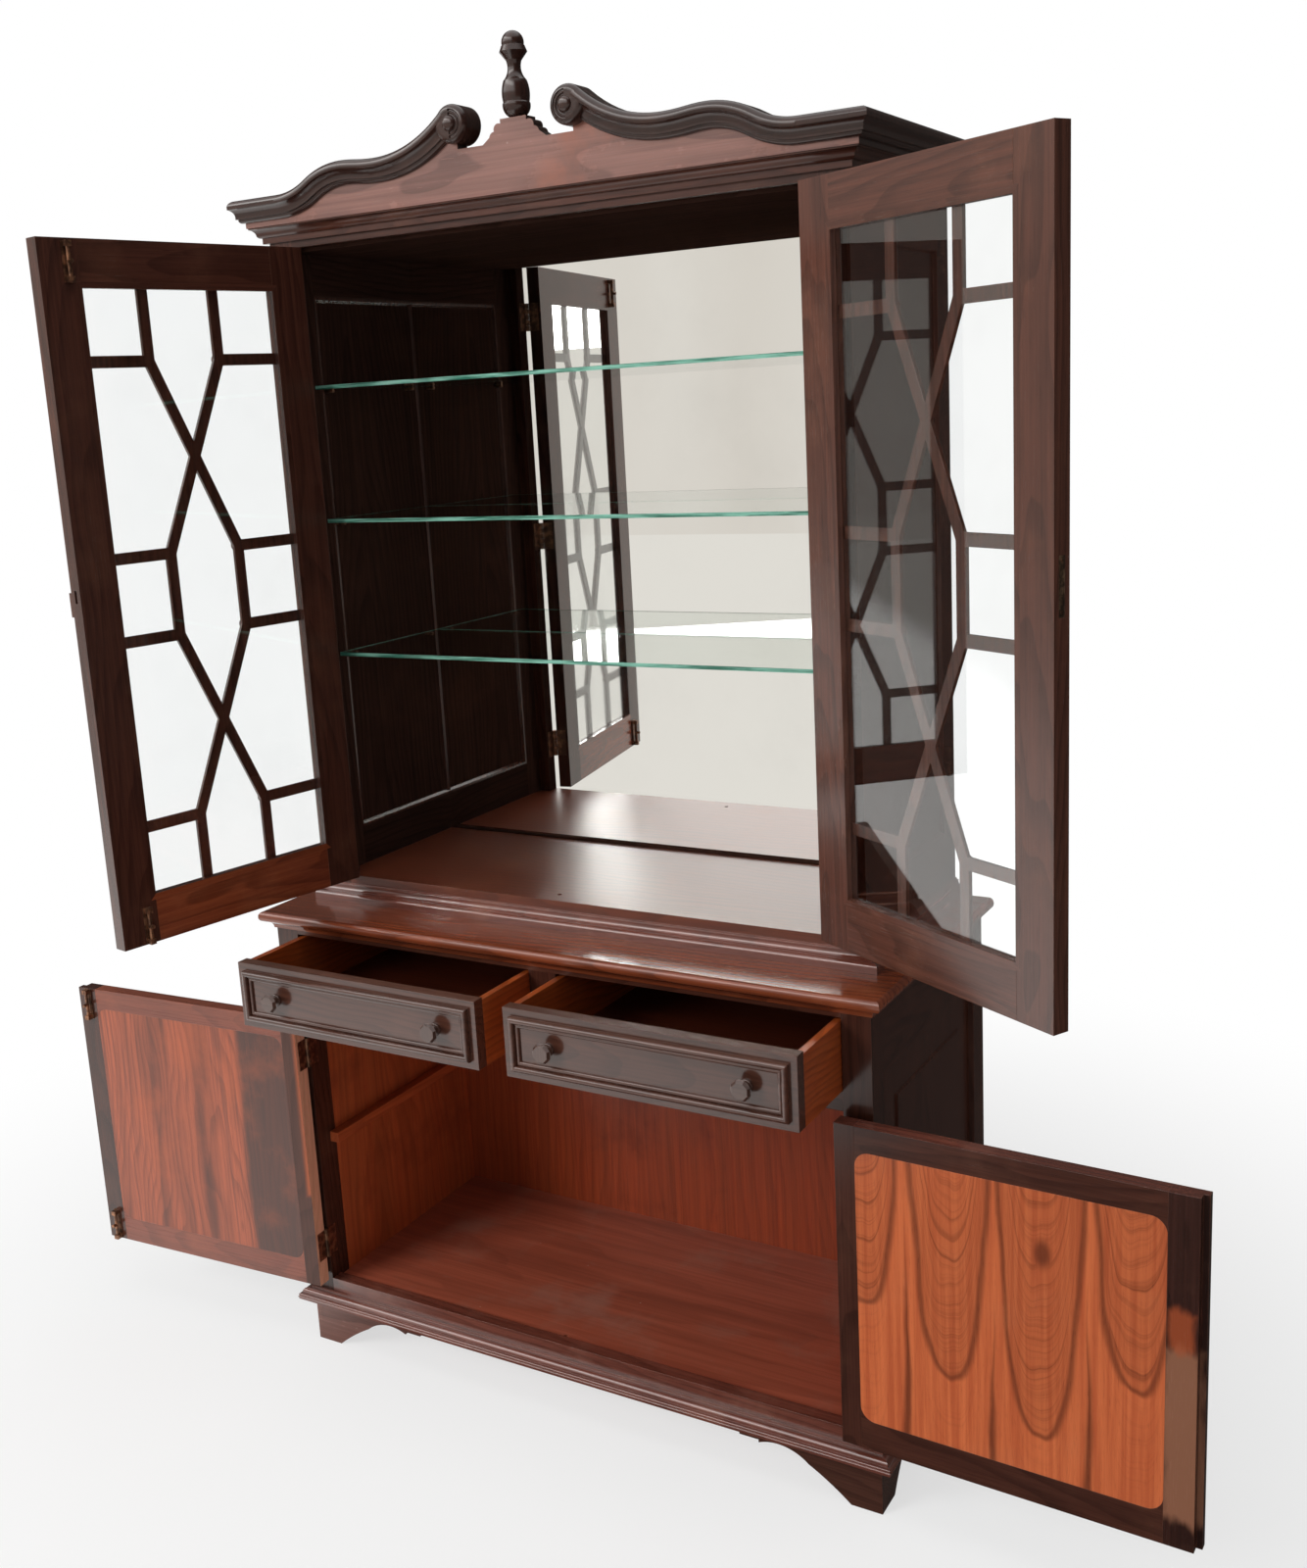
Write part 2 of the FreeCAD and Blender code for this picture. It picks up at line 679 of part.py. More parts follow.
def slide_bolt(x, face_y, end_z, way):
    """Plate with two staples, and the rod with its knob. way is 1 for a bolt shot upwards, -1 downwards."""
    length = bolt_plate_length
    plate_z = min(end_z, end_z - way * length)
    half = bolt_plate_width / 2
    plate_y = face_y + bolt_plate_thick
    plate = box(x - half, x + half, face_y, plate_y, plate_z, plate_z + length)
    rod_y = face_y + bolt_plate_thick + bolt_wall + bolt_radius
    outer = bolt_radius + bolt_wall
    parts = []
    for start in (end_z, end_z - way * (length - bolt_staple)):
        z0 = min(start, start - way * bolt_staple)
        parts.append(box(x - outer, x + outer, plate_y, rod_y + outer, z0, z0 + bolt_staple))
    bore_from = Vector(x, rod_y, plate_z - cut_over)
    bore = rod(bolt_radius + hinge_slack, length + 2 * cut_over, bore_from, Vector(0, 0, 1))
    plate = plate.fuse(parts).cut(bore)
    rod_length = length - hinge_slack
    rod_z = min(end_z, end_z - way * rod_length)
    bar = rod(bolt_radius, rod_length, Vector(x, rod_y, rod_z), Vector(0, 0, 1))
    knob_z = end_z - way * length / 2
    grip = rod(bolt_knob_radius, bolt_radius + bolt_knob_height, Vector(x, rod_y, knob_z), Vector(0, 1, 0))
    return plate, bar.fuse(grip)


# Lower doors

def swung(shapes, pin_x, pin_y, angle):
    """Pieces of a door turned about the hinge pins."""
    for shape in shapes:
        shape.rotate(Vector(pin_x, pin_y, 0), Vector(0, 0, 1), angle)
    return shapes


def rounded_field(x0, x1, y0, y1, z0, z1, radius):
    """A flat panel with round corners."""
    block = box(x0, x1, y0, y1, z0, z1)
    corners = [edge for edge in block.Edges if edge.BoundBox.YLength > (y1 - y0) / 2]
    return block.makeFillet(radius, corners)


def lower_leaf(lap):
    """Frame members and field of a right-hand lower door. lap is 1 for the lapping leaf, -1 for the other."""
    hinge_x = opening_half - hinge_gap
    free_x = door_gap / 2
    thick = lower_door_thick
    half_thick = thick / 2
    z0 = lower_leaf_z
    z1 = lower_leaf_top
    slab = box(free_x, hinge_x, 0, thick, z0, z1)
    if lap > 0:
        slab = slab.fuse(box(free_x - meeting_lap, free_x, 0, half_thick - seat, z0, z1)).removeSplitter()
    else:
        slab = slab.cut(box(
            free_x - cut_over, free_x + meeting_lap, -cut_over, half_thick + seat,
            z0 - cut_over, z1 + cut_over,
        ))
    field_x0 = free_x + lower_field_free
    field_x1 = hinge_x - lower_field_hinge
    field_z0 = z0 + lower_field_bottom
    field_z1 = z1 - lower_field_top
    field_y = thick - lower_field_thick
    field = rounded_field(field_x0, field_x1, field_y, thick, field_z0, field_z1, lower_field_round)
    slab = slab.cut(field)
    slab = slab.cut(box(field_x0, field_x1, -cut_over, field_y, field_z0, field_z1))
    for z in hinge_heights(z0, z1, lower_hinge_share):
        slab = slab.cut(door_mortises(hinge_x, 0, [z])[0])
    far = lower_half
    free_stile = slab.common(box(-far, field_x0, -far, far, z0, z1))
    hinge_stile = slab.common(box(field_x1, far, -far, far, z0, z1))
    bottom = slab.common(box(field_x0, field_x1, -far, far, z0, (z0 + z1) / 2))
    top = slab.common(box(field_x0, field_x1, -far, far, (z0 + z1) / 2, z1))
    face_y = field_y - panel_recess
    slips = ring_strips(field_x0, field_x1, face_y, field_y, field_z0, field_z1, panel_slip)
    return [free_stile, hinge_stile, bottom, top] + slips, [field]


def make_lower_doors():
    """Both cupboard doors with their hinges, and the bolts of the left one."""
    heights = hinge_heights(lower_leaf_z, lower_leaf_top, lower_hinge_share)
    pin_x = lower_pin_x
    pin_y = -pin_offset
    case_side, door_side = hinge_set(pin_x, pin_y, heights)
    frame, field = lower_leaf(1)
    nodes["lower_right_door_frame"] = swung(frame, pin_x, pin_y, lower_right_open)
    nodes["lower_right_door_panel"] = swung(field, pin_x, pin_y, lower_right_open)
    leaves = [leaf.copy() for leaf in door_side]
    nodes["lower_right_door_hinges"] = swung(leaves, pin_x, pin_y, lower_right_open)
    frame, field = lower_leaf(-1)
    turn = -lower_left_open
    nodes["lower_left_door_frame"] = swung([mirrored(piece) for piece in frame], -pin_x, pin_y, turn)
    nodes["lower_left_door_panel"] = swung([mirrored(piece) for piece in field], -pin_x, pin_y, turn)
    nodes["lower_left_door_hinges"] = swung([mirrored(leaf) for leaf in door_side], -pin_x, pin_y, turn)
    nodes["lower_case_hinges"] = case_side + [mirrored(leaf) for leaf in case_side]
    x, _ = bolt_place(opening_half, lower_leaf_width, lower_bolt_from_edge, 0, lower_door_thick)
    top_plate, top_bar = slide_bolt(x, lower_door_thick, lower_leaf_top - bolt_end_gap, 1)
    low_plate, low_bar = slide_bolt(x, lower_door_thick, lower_leaf_z + bolt_end_gap, -1)
    nodes["lower_left_bolt_plates"] = swung([top_plate, low_plate], -pin_x, pin_y, turn)
    nodes["lower_left_bolt_top"] = swung([top_bar], -pin_x, pin_y, turn)
    nodes["lower_left_bolt_bottom"] = swung([low_bar], -pin_x, pin_y, turn)


# Upper case

def make_upper_sides():
    """Both sides: face stile, rear stile, two rails and a thin sunk panel with slips on both faces."""
    y1 = lower_depth
    z0 = lower_height
    z1 = upper_top
    panel_z0 = upper_floor_top + upper_rail
    panel_z1 = ceiling_under - upper_rail
    panel_y0 = upper_door_zone + post
    panel_y1 = y1 - post
    wall = upper_wall
    outer = upper_half
    panel_face = outer - upper_sunk
    stile = box(upper_hinge_half, outer, upper_front, upper_door_zone, z0, z1)
    for z in hinge_heights(upper_leaf_z, upper_leaf_top, upper_hinge_share):
        stile = stile.cut(hinge_mortise(upper_hinge_half, upper_front, z))
    right = [
        stile,
        box(wall, outer, upper_door_zone, panel_y0, z0, z1),
        box(wall, outer, panel_y1, y1, z0, z1),
        box(wall, outer, panel_y0, panel_y1, z0, panel_z0),
        box(wall, outer, panel_y0, panel_y1, panel_z1, z1),
        box(wall + upper_sunk, panel_face, panel_y0, panel_y1, panel_z0, panel_z1),
    ]
    slip = box(panel_face, outer, panel_y0, panel_y1, panel_z0, panel_z1)
    slip = slip.cut(box(
        panel_face - cut_over, outer + cut_over, panel_y0 + upper_slip, panel_y1 - upper_slip,
        panel_z0 + upper_slip, panel_z1 - upper_slip,
    ))
    slip = slip.makeChamfer(upper_sunk * field_bevel_share, slip_edges(slip, outer))
    inner_slip = slip.mirror(Vector((wall + outer) / 2, 0, 0), Vector(1, 0, 0))
    right.extend([slip, inner_slip])
    nodes["upper_side_right"] = right
    nodes["upper_side_left"] = [mirrored(piece) for piece in right]


def make_upper_boards():
    """Floor, ceiling, frieze rail, mirror and framed back of the upper case."""
    x, y = bolt_place(upper_hinge_half, upper_leaf_width, upper_bolt_from_edge, upper_front, upper_door_thick)
    half = upper_hinge_half
    wall = upper_wall
    panel_y = mirror_y + mirror_thick
    floor = box(-wall, wall, upper_door_zone, panel_y, lower_height, upper_floor_top)
    sill = box(-half, half, upper_front, upper_door_zone, lower_height, upper_floor_top)
    floor = floor.fuse(sill).removeSplitter()
    nodes["upper_floor"] = [floor.cut(bolt_socket(x, y, upper_floor_top - bolt_throw))]
    ceiling = box(-wall, wall, upper_door_zone + seat, panel_y, ceiling_under, upper_top)
    nodes["upper_ceiling"] = [ceiling.cut(bolt_socket(x, y, ceiling_under - cut_over))]
    nodes["frieze_rail"] = [box(-half, half, upper_front, upper_door_zone, upper_opening_top, upper_top)]
    nodes["mirror"] = [box(-wall, wall, mirror_y, panel_y, upper_floor_top, ceiling_under)]
    frame_y = panel_y + thin_board
    frame_end = frame_y + board
    z0 = lower_height
    z1 = upper_top
    foot_z = upper_floor_top
    nodes["upper_back"] = [
        box(-wall, wall, panel_y, frame_y, z0, z1),
        box(-wall, wall, mirror_y - mirror_bead, mirror_y, foot_z, foot_z + mirror_bead),
        box(-wall, wall, frame_y, frame_end, z0, z0 + side_bottom_rail),
        box(-wall, wall, frame_y, frame_end, z1 - side_bottom_rail, z1),
        box(-post, post, frame_y, frame_end, z0 + side_bottom_rail, z1 - side_bottom_rail),
    ]


def make_shelves():
    """Glass shelves on four pins each."""
    pins = []
    rear_y = mirror_y - pin_rear
    for number, top in enumerate(shelf_tops, 1):
        low = top - shelf_thick
        nodes["glass_shelf_%d" % number] = [
            box(-upper_wall + seat, upper_wall - seat, shelf_front, mirror_y - seat, low, top),
        ]
        for y in (shelf_front + pin_front, rear_y):
            start = Vector(upper_wall - pin_out, y, low - pin_radius)
            pin = rod(pin_radius, pin_out + upper_sunk, start, Vector(1, 0, 0))
            pins.extend([pin, mirrored(pin)])
    nodes["shelf_pins"] = pins


# Upper doors

def astragal(start, end, centre_y):
    """A glazing bar between two points of the door, its outer edges chamfered."""
    (x0, z0), (x1, z1) = start, end
    length = math.hypot(x1 - x0, z1 - z0)
    bar = box(0, length, centre_y, centre_y + bar_depth, -bar_width / 2, bar_width / 2)
    edges = []
    for edge in bar.Edges:
        if edge.BoundBox.XLength > length / 2 and edge.BoundBox.YMax < centre_y + seat:
            edges.append(edge)
    bar = bar.makeChamfer(bar_chamfer, edges)
    bar.rotate(Vector(0, 0, 0), Vector(0, 1, 0), -math.degrees(math.atan2(z1 - z0, x1 - x0)))
    bar.translate(Vector(x0, 0, z0))
    return bar


def lattice(x0, x1, z0, z1):
    """All glazing bars of a door between the edges of its sight opening, fused into one grille."""
    middle_x = (x0 + x1) / 2
    middle_z = (z0 + z1) / 2
    columns = (middle_x - bar_column_offset, middle_x + bar_column_offset)
    y = upper_front + bar_set
    lines = []
    for way, rail_z in ((-1, z0), (1, z1)):
        outer_z = rail_z - way * bar_end_rise
        inner_z = middle_z + way * bar_waist
        for column, edge_x in zip(columns, (x0, x1)):
            lines.append(((column, rail_z), (column, outer_z)))
            lines.append(((edge_x, outer_z), (column, outer_z)))
            lines.append(((edge_x, inner_z), (column, inner_z)))
            lines.append(((column, inner_z), (column, middle_z)))
        lines.append(((columns[0], outer_z), (columns[1], inner_z)))
        lines.append(((columns[1], outer_z), (columns[0], inner_z)))
    bars = [astragal(start, end, y) for start, end in lines]
    knots = []
    for column in columns:
        for z in (z0 + bar_end_rise, middle_z - bar_waist, middle_z + bar_waist, z1 - bar_end_rise):
            place = Vector(column, y + bar_set, z)
            knots.append(rod(bar_width / 2, bar_depth - bar_set, place, Vector(0, 1, 0)))
    grille = bars[0].fuse(bars[1:] + knots)
    opening = box(x0, x1, upper_front - cut_over, upper_front + glass_depth, z0, z1)
    return grille.common(opening)


def glazed_leaf():
    """Frame members, bead, grille and pane of a right-hand upper door."""
    hinge_x = upper_hinge_half - hinge_gap
    free_x = door_gap / 2
    z0 = upper_leaf_z
    z1 = upper_leaf_top
    front = upper_front
    rear = upper_door_zone
    sight_x0 = free_x + upper_stile
    sight_x1 = hinge_x - upper_stile
    sight_z0 = z0 + upper_bottom_rail
    sight_z1 = z1 - upper_top_rail
    slab = box(free_x, hinge_x, front, rear, z0, z1)
    slab = slab.cut(box(sight_x0, sight_x1, front - cut_over, rear + cut_over, sight_z0, sight_z1))
    inner = []
    for edge in slab.Edges:
        bounds = edge.BoundBox
        on_face = bounds.YMax < front + seat
        inside_x = bounds.XMin > free_x + seat and bounds.XMax < hinge_x - seat
        if on_face and inside_x and bounds.ZMin > z0 + seat and bounds.ZMax < z1 - seat:
            inner.append(edge)
    slab = slab.makeFillet(ovolo, inner)
    glass_y = front + glass_depth
    bead_y = glass_y + glass_thick
    x0, x1 = sight_x0 - glass_rebate, sight_x1 + glass_rebate
    low, high = sight_z0 - glass_rebate, sight_z1 + glass_rebate
    slab = slab.cut(box(x0, x1, glass_y, rear + cut_over, low, high))
    pane = box(x0, x1, glass_y, bead_y, low, high)
    beads = ring_strips(x0, x1, bead_y, rear, low, high, bead_width)
    far = upper_half
    members = [
        slab.common(box(-far, sight_x0, -far, far, z0, z1)),
        slab.common(box(sight_x1, far, -far, far, z0, z1)),
        slab.common(box(sight_x0, sight_x1, -far, far, z0, (z0 + z1) / 2)),
        slab.common(box(sight_x0, sight_x1, -far, far, (z0 + z1) / 2, z1)),
    ]
    for cutter in door_mortises(hinge_x, front, hinge_heights(z0, z1, upper_hinge_share)):
        members[1] = members[1].cut(cutter)
    return members, beads, lattice(sight_x0, sight_x1, sight_z0, sight_z1), pane


def lock_pieces():
    """Mortised lock of the right door: case with its forend, and the flat bolt."""
    edge_x = door_gap / 2
    middle_y = upper_front + upper_door_thick / 2
    half = lock_height / 2
    z0 = lock_middle_z - half
    z1 = lock_middle_z + half
    wide = lock_case_wide / 2
    case = box(edge_x, edge_x + lock_case_deep, middle_y - wide, middle_y + wide, z0, z1)
    bolt_z0 = lock_middle_z - lock_bolt_height / 2
    bolt_z1 = lock_middle_z + lock_bolt_height / 2
    bolt_end = edge_x + lock_bolt_long
    wide = lock_bolt_wide / 2
    bolt = box(edge_x, bolt_end, middle_y - wide, middle_y + wide, bolt_z0, bolt_z1)
    wide = lock_bolt_wide / 2 + lock_slack
    slot = box(
        edge_x - cut_over, bolt_end + lock_slack, middle_y - wide, middle_y + wide,
        bolt_z0 - lock_slack, bolt_z1 + lock_slack,
    )
    return case, case.cut(slot), bolt


def make_upper_doors():
    """Both glazed doors with hinges, the lock of the right one and the bolts of the left one."""
    heights = hinge_heights(upper_leaf_z, upper_leaf_top, upper_hinge_share)
    pin_x = upper_pin_x
    pin_y = upper_front - pin_offset
    case_side, door_side = hinge_set(pin_x, pin_y, heights)
    nodes["upper_case_hinges"] = case_side + [mirrored(leaf) for leaf in case_side]
    members, beads, grille, pane = glazed_leaf()
    lock_space, lock_case, lock_bolt = lock_pieces()
    turn = -upper_left_open
    left = [mirrored(piece) for piece in members]
    middle_y = (upper_front + upper_door_zone) / 2
    keep_y = lock_bolt_wide / 2 + lock_slack
    keep_z = lock_bolt_height / 2 + lock_slack
    keep = box(
        -door_gap - lock_bolt_throw, cut_over, middle_y - keep_y, middle_y + keep_y,
        lock_middle_z - keep_z, lock_middle_z + keep_z,
    )
    left[0] = left[0].cut(keep)
    lug_x = -door_gap / 2 - lug_width
    lug_z = lug_middle_z - lug_height / 2
    lug = box(lug_x, lug_x + lug_width, upper_front - lug_rise, upper_front, lug_z, lug_z + lug_height)
    left.extend([mirrored(bead) for bead in beads] + [lug])
    nodes["upper_left_door_frame"] = swung(left, -pin_x, pin_y, turn)
    nodes["upper_left_door_bars"] = swung([mirrored(grille)], -pin_x, pin_y, turn)
    nodes["upper_left_door_glass"] = swung([mirrored(pane)], -pin_x, pin_y, turn)
    nodes["upper_left_door_hinges"] = swung([mirrored(leaf) for leaf in door_side], -pin_x, pin_y, turn)
    x, _ = bolt_place(upper_hinge_half, upper_leaf_width, upper_bolt_from_edge, upper_front, upper_door_thick)
    face_y = upper_door_zone
    top_plate, top_bar = slide_bolt(x, face_y, ceiling_under - bolt_end_gap, 1)
    low_plate, low_bar = slide_bolt(x, face_y, upper_leaf_z + bolt_end_gap, -1)
    nodes["upper_left_bolt_plates"] = swung([top_plate, low_plate], -pin_x, pin_y, turn)
    nodes["upper_left_bolt_top"] = swung([top_bar], -pin_x, pin_y, turn)
    nodes["upper_left_bolt_bottom"] = swung([low_bar], -pin_x, pin_y, turn)
    members[0] = members[0].cut(lock_space)
    turn = upper_right_open
    nodes["upper_right_door_frame"] = swung(members + beads, pin_x, pin_y, turn)
    nodes["upper_right_door_bars"] = swung([grille], pin_x, pin_y, turn)
    nodes["upper_right_door_glass"] = swung([pane], pin_x, pin_y, turn)
    nodes["upper_right_door_hinges"] = swung(door_side, pin_x, pin_y, turn)
    nodes["upper_right_lock"] = swung([lock_case], pin_x, pin_y, turn)
    nodes["upper_right_lock_bolt"] = swung([lock_bolt], pin_x, pin_y, turn)


# Cornice and pediment

def neck_path():
    """Arcs of the right swan neck's upper edge, from the level outer part in to the volute.

    Each arc is (start point, centre, degrees), turned about the centre. Two arcs that bend opposite
    ways by the same angle join level points: the angle follows from the rise over the run.
    """
    arcs = []
    point = (neck_start_x, cornice_top)
    heading = 0.0
    crest_z = cornice_top + neck_crest_rise
    dip_z = crest_z - neck_dip_drop
    volute_top = cornice_top + volute_top_rise
    stations = (
        (neck_start_x, cornice_top), (neck_crest_x, crest_z), (neck_dip_x, dip_z), (volute_x, volute_top),
    )
    turns = []
    for (xa, za), (xb, zb) in zip(stations, stations[1:]):
        angle = 2 * math.atan2(zb - za, xa - xb)
        turns.append((angle, (xa - xb) / abs(math.sin(angle))))
    first, second, third = turns
    outer_radius = first[1] * neck_hollow_share
    crest_radius = first[1] - outer_radius
    dip_radius = third[1] - volute_radius
    legs = [
        (outer_radius, first[0]),
        (-crest_radius, -first[0]),
        (-(second[1] * neck_hollow_share), second[0]),
        (second[1] * (1 - neck_hollow_share), -second[0]),
        (dip_radius, third[0]),
    ]
    for radius, turn in legs:
        x, z = point
        normal = (math.sin(heading), math.cos(heading))
        centre = (x + radius * normal[0], z + radius * normal[1])
        arcs.append((point, heading, centre, turn))
        heading += turn
        normal = (math.sin(heading), math.cos(heading))
        point = (centre[0] - radius * normal[0], centre[1] - radius * normal[1])
    return arcs, point, heading


def crown_section(point, heading):
    """The crown moulding's outline, square to the neck at a point of its upper edge."""
    x, z = point
    down = (-math.sin(heading), -math.cos(heading))

    def place(p, d):
        depth = d * crown_height
        return Vector(x + down[0] * depth, fascia_y - p * crown_reach, z + down[1] * depth)

    return Part.Face(closed_wire((0.0, 0.0), crown_steps_share, place))


def make_neck(side_piece):
    """The right swan neck: level run with its mitre, arcs, volute and boss."""
    outer = upper_half + fascia_projection
    reach = crown_reach
    arcs, end, heading = neck_path()
    end_x = outer + reach
    face_y = fascia_y - reach

    def plan(x, y):
        return Vector(x, y, cornice_top - crown_height - cut_over)

    level = crown_section((neck_start_x, cornice_top), 0.0).extrude(Vector(end_x - neck_start_x, 0, 0))
    zone = [(neck_start_x, fascia_y), (outer, fascia_y), (end_x, face_y), (neck_start_x, face_y)]
    level = level.common(prism(zone, plan, Vector(0, 0, crown_height + 2 * cut_over)))
    pieces = []
    for point, direction, centre, turn in arcs:
        section = crown_section(point, direction)
        axis = Vector(centre[0], 0, centre[1])
        pieces.append(section.revolve(axis, Vector(0, 1, 0), math.degrees(turn)))
    eye = Vector(volute_x, face_y, volute_z)
    volute = rod(volute_radius, reach, eye, Vector(0, 1, 0))
    rim = [edge for edge in volute.Edges if edge.BoundBox.YMax < face_y + seat]
    volute = volute.makeFillet(volute_round, rim)
    neck = level.fuse(pieces + [volute]).removeSplitter()
    neck = neck.cut(coil(eye))
    squash = FreeCAD.Matrix()
    squash.scale(1.0, boss_rise / boss_radius, 1.0)
    boss = Part.makeSphere(boss_radius).transformGeometry(squash)
    boss.translate(eye)
    boss = boss.common(box(
        volute_x - boss_radius, volute_x + boss_radius, face_y - boss_rise, face_y,
        volute_z - boss_radius, volute_z + boss_radius,
    ))
    return [neck, boss, side_piece]


def coil(eye):
    """Cutters of the carved coil: half turns of a round groove, each tighter than the last."""
    cutters = []
    radius = coil_radius
    centre_z = eye.z
    way = 1
    for _ in range(coil_turns):
        start = Vector(eye.x, eye.y, centre_z + way * radius)
        ring = Part.Wire(Part.makeCircle(coil_groove, start, Vector(1, 0, 0)))
        axis = Vector(eye.x, eye.y, centre_z)
        cutters.append(Part.Face(ring).revolve(axis, Vector(0, -1, 0), 180))
        end_z = centre_z - way * radius
        radius -= coil_pitch
        centre_z = end_z + way * radius
        way = -way
    return cutters


def make_tympanum():
    """Fascia board with the pediment's outline: swan necks, volutes and the lobed middle plinth."""
    arcs, end, heading = neck_path()
    outer = upper_half + fascia_projection
    start = (0.0, fascia_z)
    steps = [((outer, fascia_z),), ((outer, cornice_top),), ((neck_start_x, cornice_top),)]
    here = (neck_start_x, cornice_top)
    for point, direction, centre, turn in arcs:
        steps.append((turned(here, centre, turn / 2), turned(here, centre, turn)))
        here = steps[-1][-1]
    steps.append(((volute_x, volute_z),))
    steps.append(((volute_x, notch_z),))
    steps.append(((0.0, notch_z),))

    def place(x, z):
        return Vector(x, fascia_y, z)

    thick = Vector(0, fascia_projection, 0)
    half = Part.Face(closed_wire(start, steps, place)).extrude(thick)
    disc = rod(volute_radius, fascia_projection, Vector(volute_x, fascia_y, volute_z), Vector(0, 1, 0))
    half = half.fuse(disc)
    lobes = []
    for index in range(lobe_count):
        share = (index + 0.5) / lobe_count
        x = plinth_half + (notch_x - plinth_half - lobe_radius) * share
        z = plinth_top_z - lobe_radius + (notch_z - plinth_top_z) * share
        lobes.append(rod(lobe_radius, fascia_projection, Vector(x, fascia_y, z), Vector(0, 1, 0)))
    core = [
        (0.0, notch_z), (notch_x, notch_z), (plinth_half, plinth_top_z - lobe_radius),
        (plinth_half, plinth_top_z), (0.0, plinth_top_z),
    ]
    half = half.fuse(lobes + [prism(core, place, thick)])
    whole = half.fuse(mirrored(half)).removeSplitter()
    foot = Vector(0, fascia_y + fascia_projection / 2, plinth_top_z - finial_spigot_deep)
    hole = rod(finial_spigot, finial_spigot_deep, foot, Vector(0, 0, 1))
    nodes["tympanum"] = [whole.cut(hole)]


def turned(point, centre, angle):
    """A plane point turned about a centre, the way the neck bends."""
    dx = point[0] - centre[0]
    dz = point[1] - centre[1]
    c = math.cos(angle)
    s = math.sin(angle)
    return (centre[0] + c * dx + s * dz, centre[1] - s * dx + c * dz)


def make_cornice():
    """Architrave, side fascias, crown mouldings, swan necks and finial."""
    nodes["architrave_mould"] = list(wrapped_moulding(
        architrave_steps_share, fascia_projection, fascia_z - architrave_z, upper_half, upper_front,
        lower_depth, architrave_z,
    ))
    nodes["upper_base_mould"] = list(wrapped_moulding(
        upper_base_steps_share, upper_mould_reach, upper_mould_height, upper_half, upper_front,
        lower_depth, lower_height,
    ))
    outer = upper_half + fascia_projection
    fascia = box(upper_half, outer, upper_front, lower_depth, fascia_z, cornice_top)
    nodes["tympanum"].extend([fascia, mirrored(fascia)])
    _, crown_side, _ = wrapped_moulding(
        crown_steps_share, crown_reach, -crown_height, outer, fascia_y, lower_depth, cornice_top,
    )
    right = make_neck(crown_side)
    nodes["pediment_right"] = right
    nodes["pediment_left"] = [mirrored(piece) for piece in right]

    def place(r, h):
        return Vector(r * finial_radius, 0, h * finial_height)

    outline = Part.Face(closed_wire((0.0, 0.0), finial_steps_share, place))
    body = outline.revolve(Vector(0, 0, 0), Vector(0, 0, 1), 360)
    head = Part.makeSphere(finial_head_radius, Vector(0, 0, finial_height - finial_head_radius))
    spigot = rod(finial_spigot - seat, finial_spigot_deep - seat, Vector(0, 0, 0), Vector(0, 0, -1))
    body = body.fuse([head, spigot])
    body.translate(Vector(0, fascia_y + fascia_projection / 2, plinth_top_z))
    nodes["finial"] = [body]


def write_nodes():
    """Moves every node so that the origin lies under the middle of the open cabinet, and writes the files."""
    whole = Part.makeCompound([piece for pieces in nodes.values() for piece in pieces])
    bounds = whole.BoundBox
    shift = Vector(0, -(bounds.YMin + bounds.YMax) / 2, 0)
    for name, pieces in nodes.items():
        solids = [solid for piece in pieces for solid in piece.Solids]
        for solid in solids:
            solid.translate(shift)
        shape = solids[0] if len(solids) == 1 else Part.makeCompound(solids)
        shape.exportStep(os.path.join(OUT, name + ".step"))
        flags = "" if all(solid.isValid() for solid in solids) else " INVALID"
        print("%-26s %2d solids %9.0f cm3%s" % (name, len(solids), shape.Volume / 1000, flags))
    print("nodes %d, shift y %.3f, x %.1f to %.1f, y %.1f to %.1f, z %.1f to %.1f" % (
        len(nodes), shift.y, bounds.XMin, bounds.XMax, bounds.YMin, bounds.YMax, bounds.ZMin, bounds.ZMax,
    ))


def main():
    """Builds the cabinet."""
    make_lower_top()
    make_lower_sides()
    make_lower_front()
    make_lower_inside()
    make_lower_mouldings()
    make_feet()
    make_drawer(-1, "drawer_left")
    make_drawer(1, "drawer_right")
    make_lower_doors()
    make_upper_sides()
    make_upper_boards()
    make_shelves()
    make_upper_doors()
    make_tympanum()
    make_cornice()
    write_nodes()


main()
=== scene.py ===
"""Looks of a two-part hardwood book and china cabinet, standing open.

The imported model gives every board, door, drawer and fitting. This script lays the grain of each board,
dresses every piece in its finish, adds the slotted screws of the hinges, bolts and lock, and sets up a plain
studio with the camera at the photograph's angle.
"""

from __future__ import annotations

import json
import logging
import math
import random
from collections.abc import Callable
from dataclasses import dataclass, field
from enum import Enum

import bmesh
import bpy
import numpy as np
from mathutils import Matrix, Vector

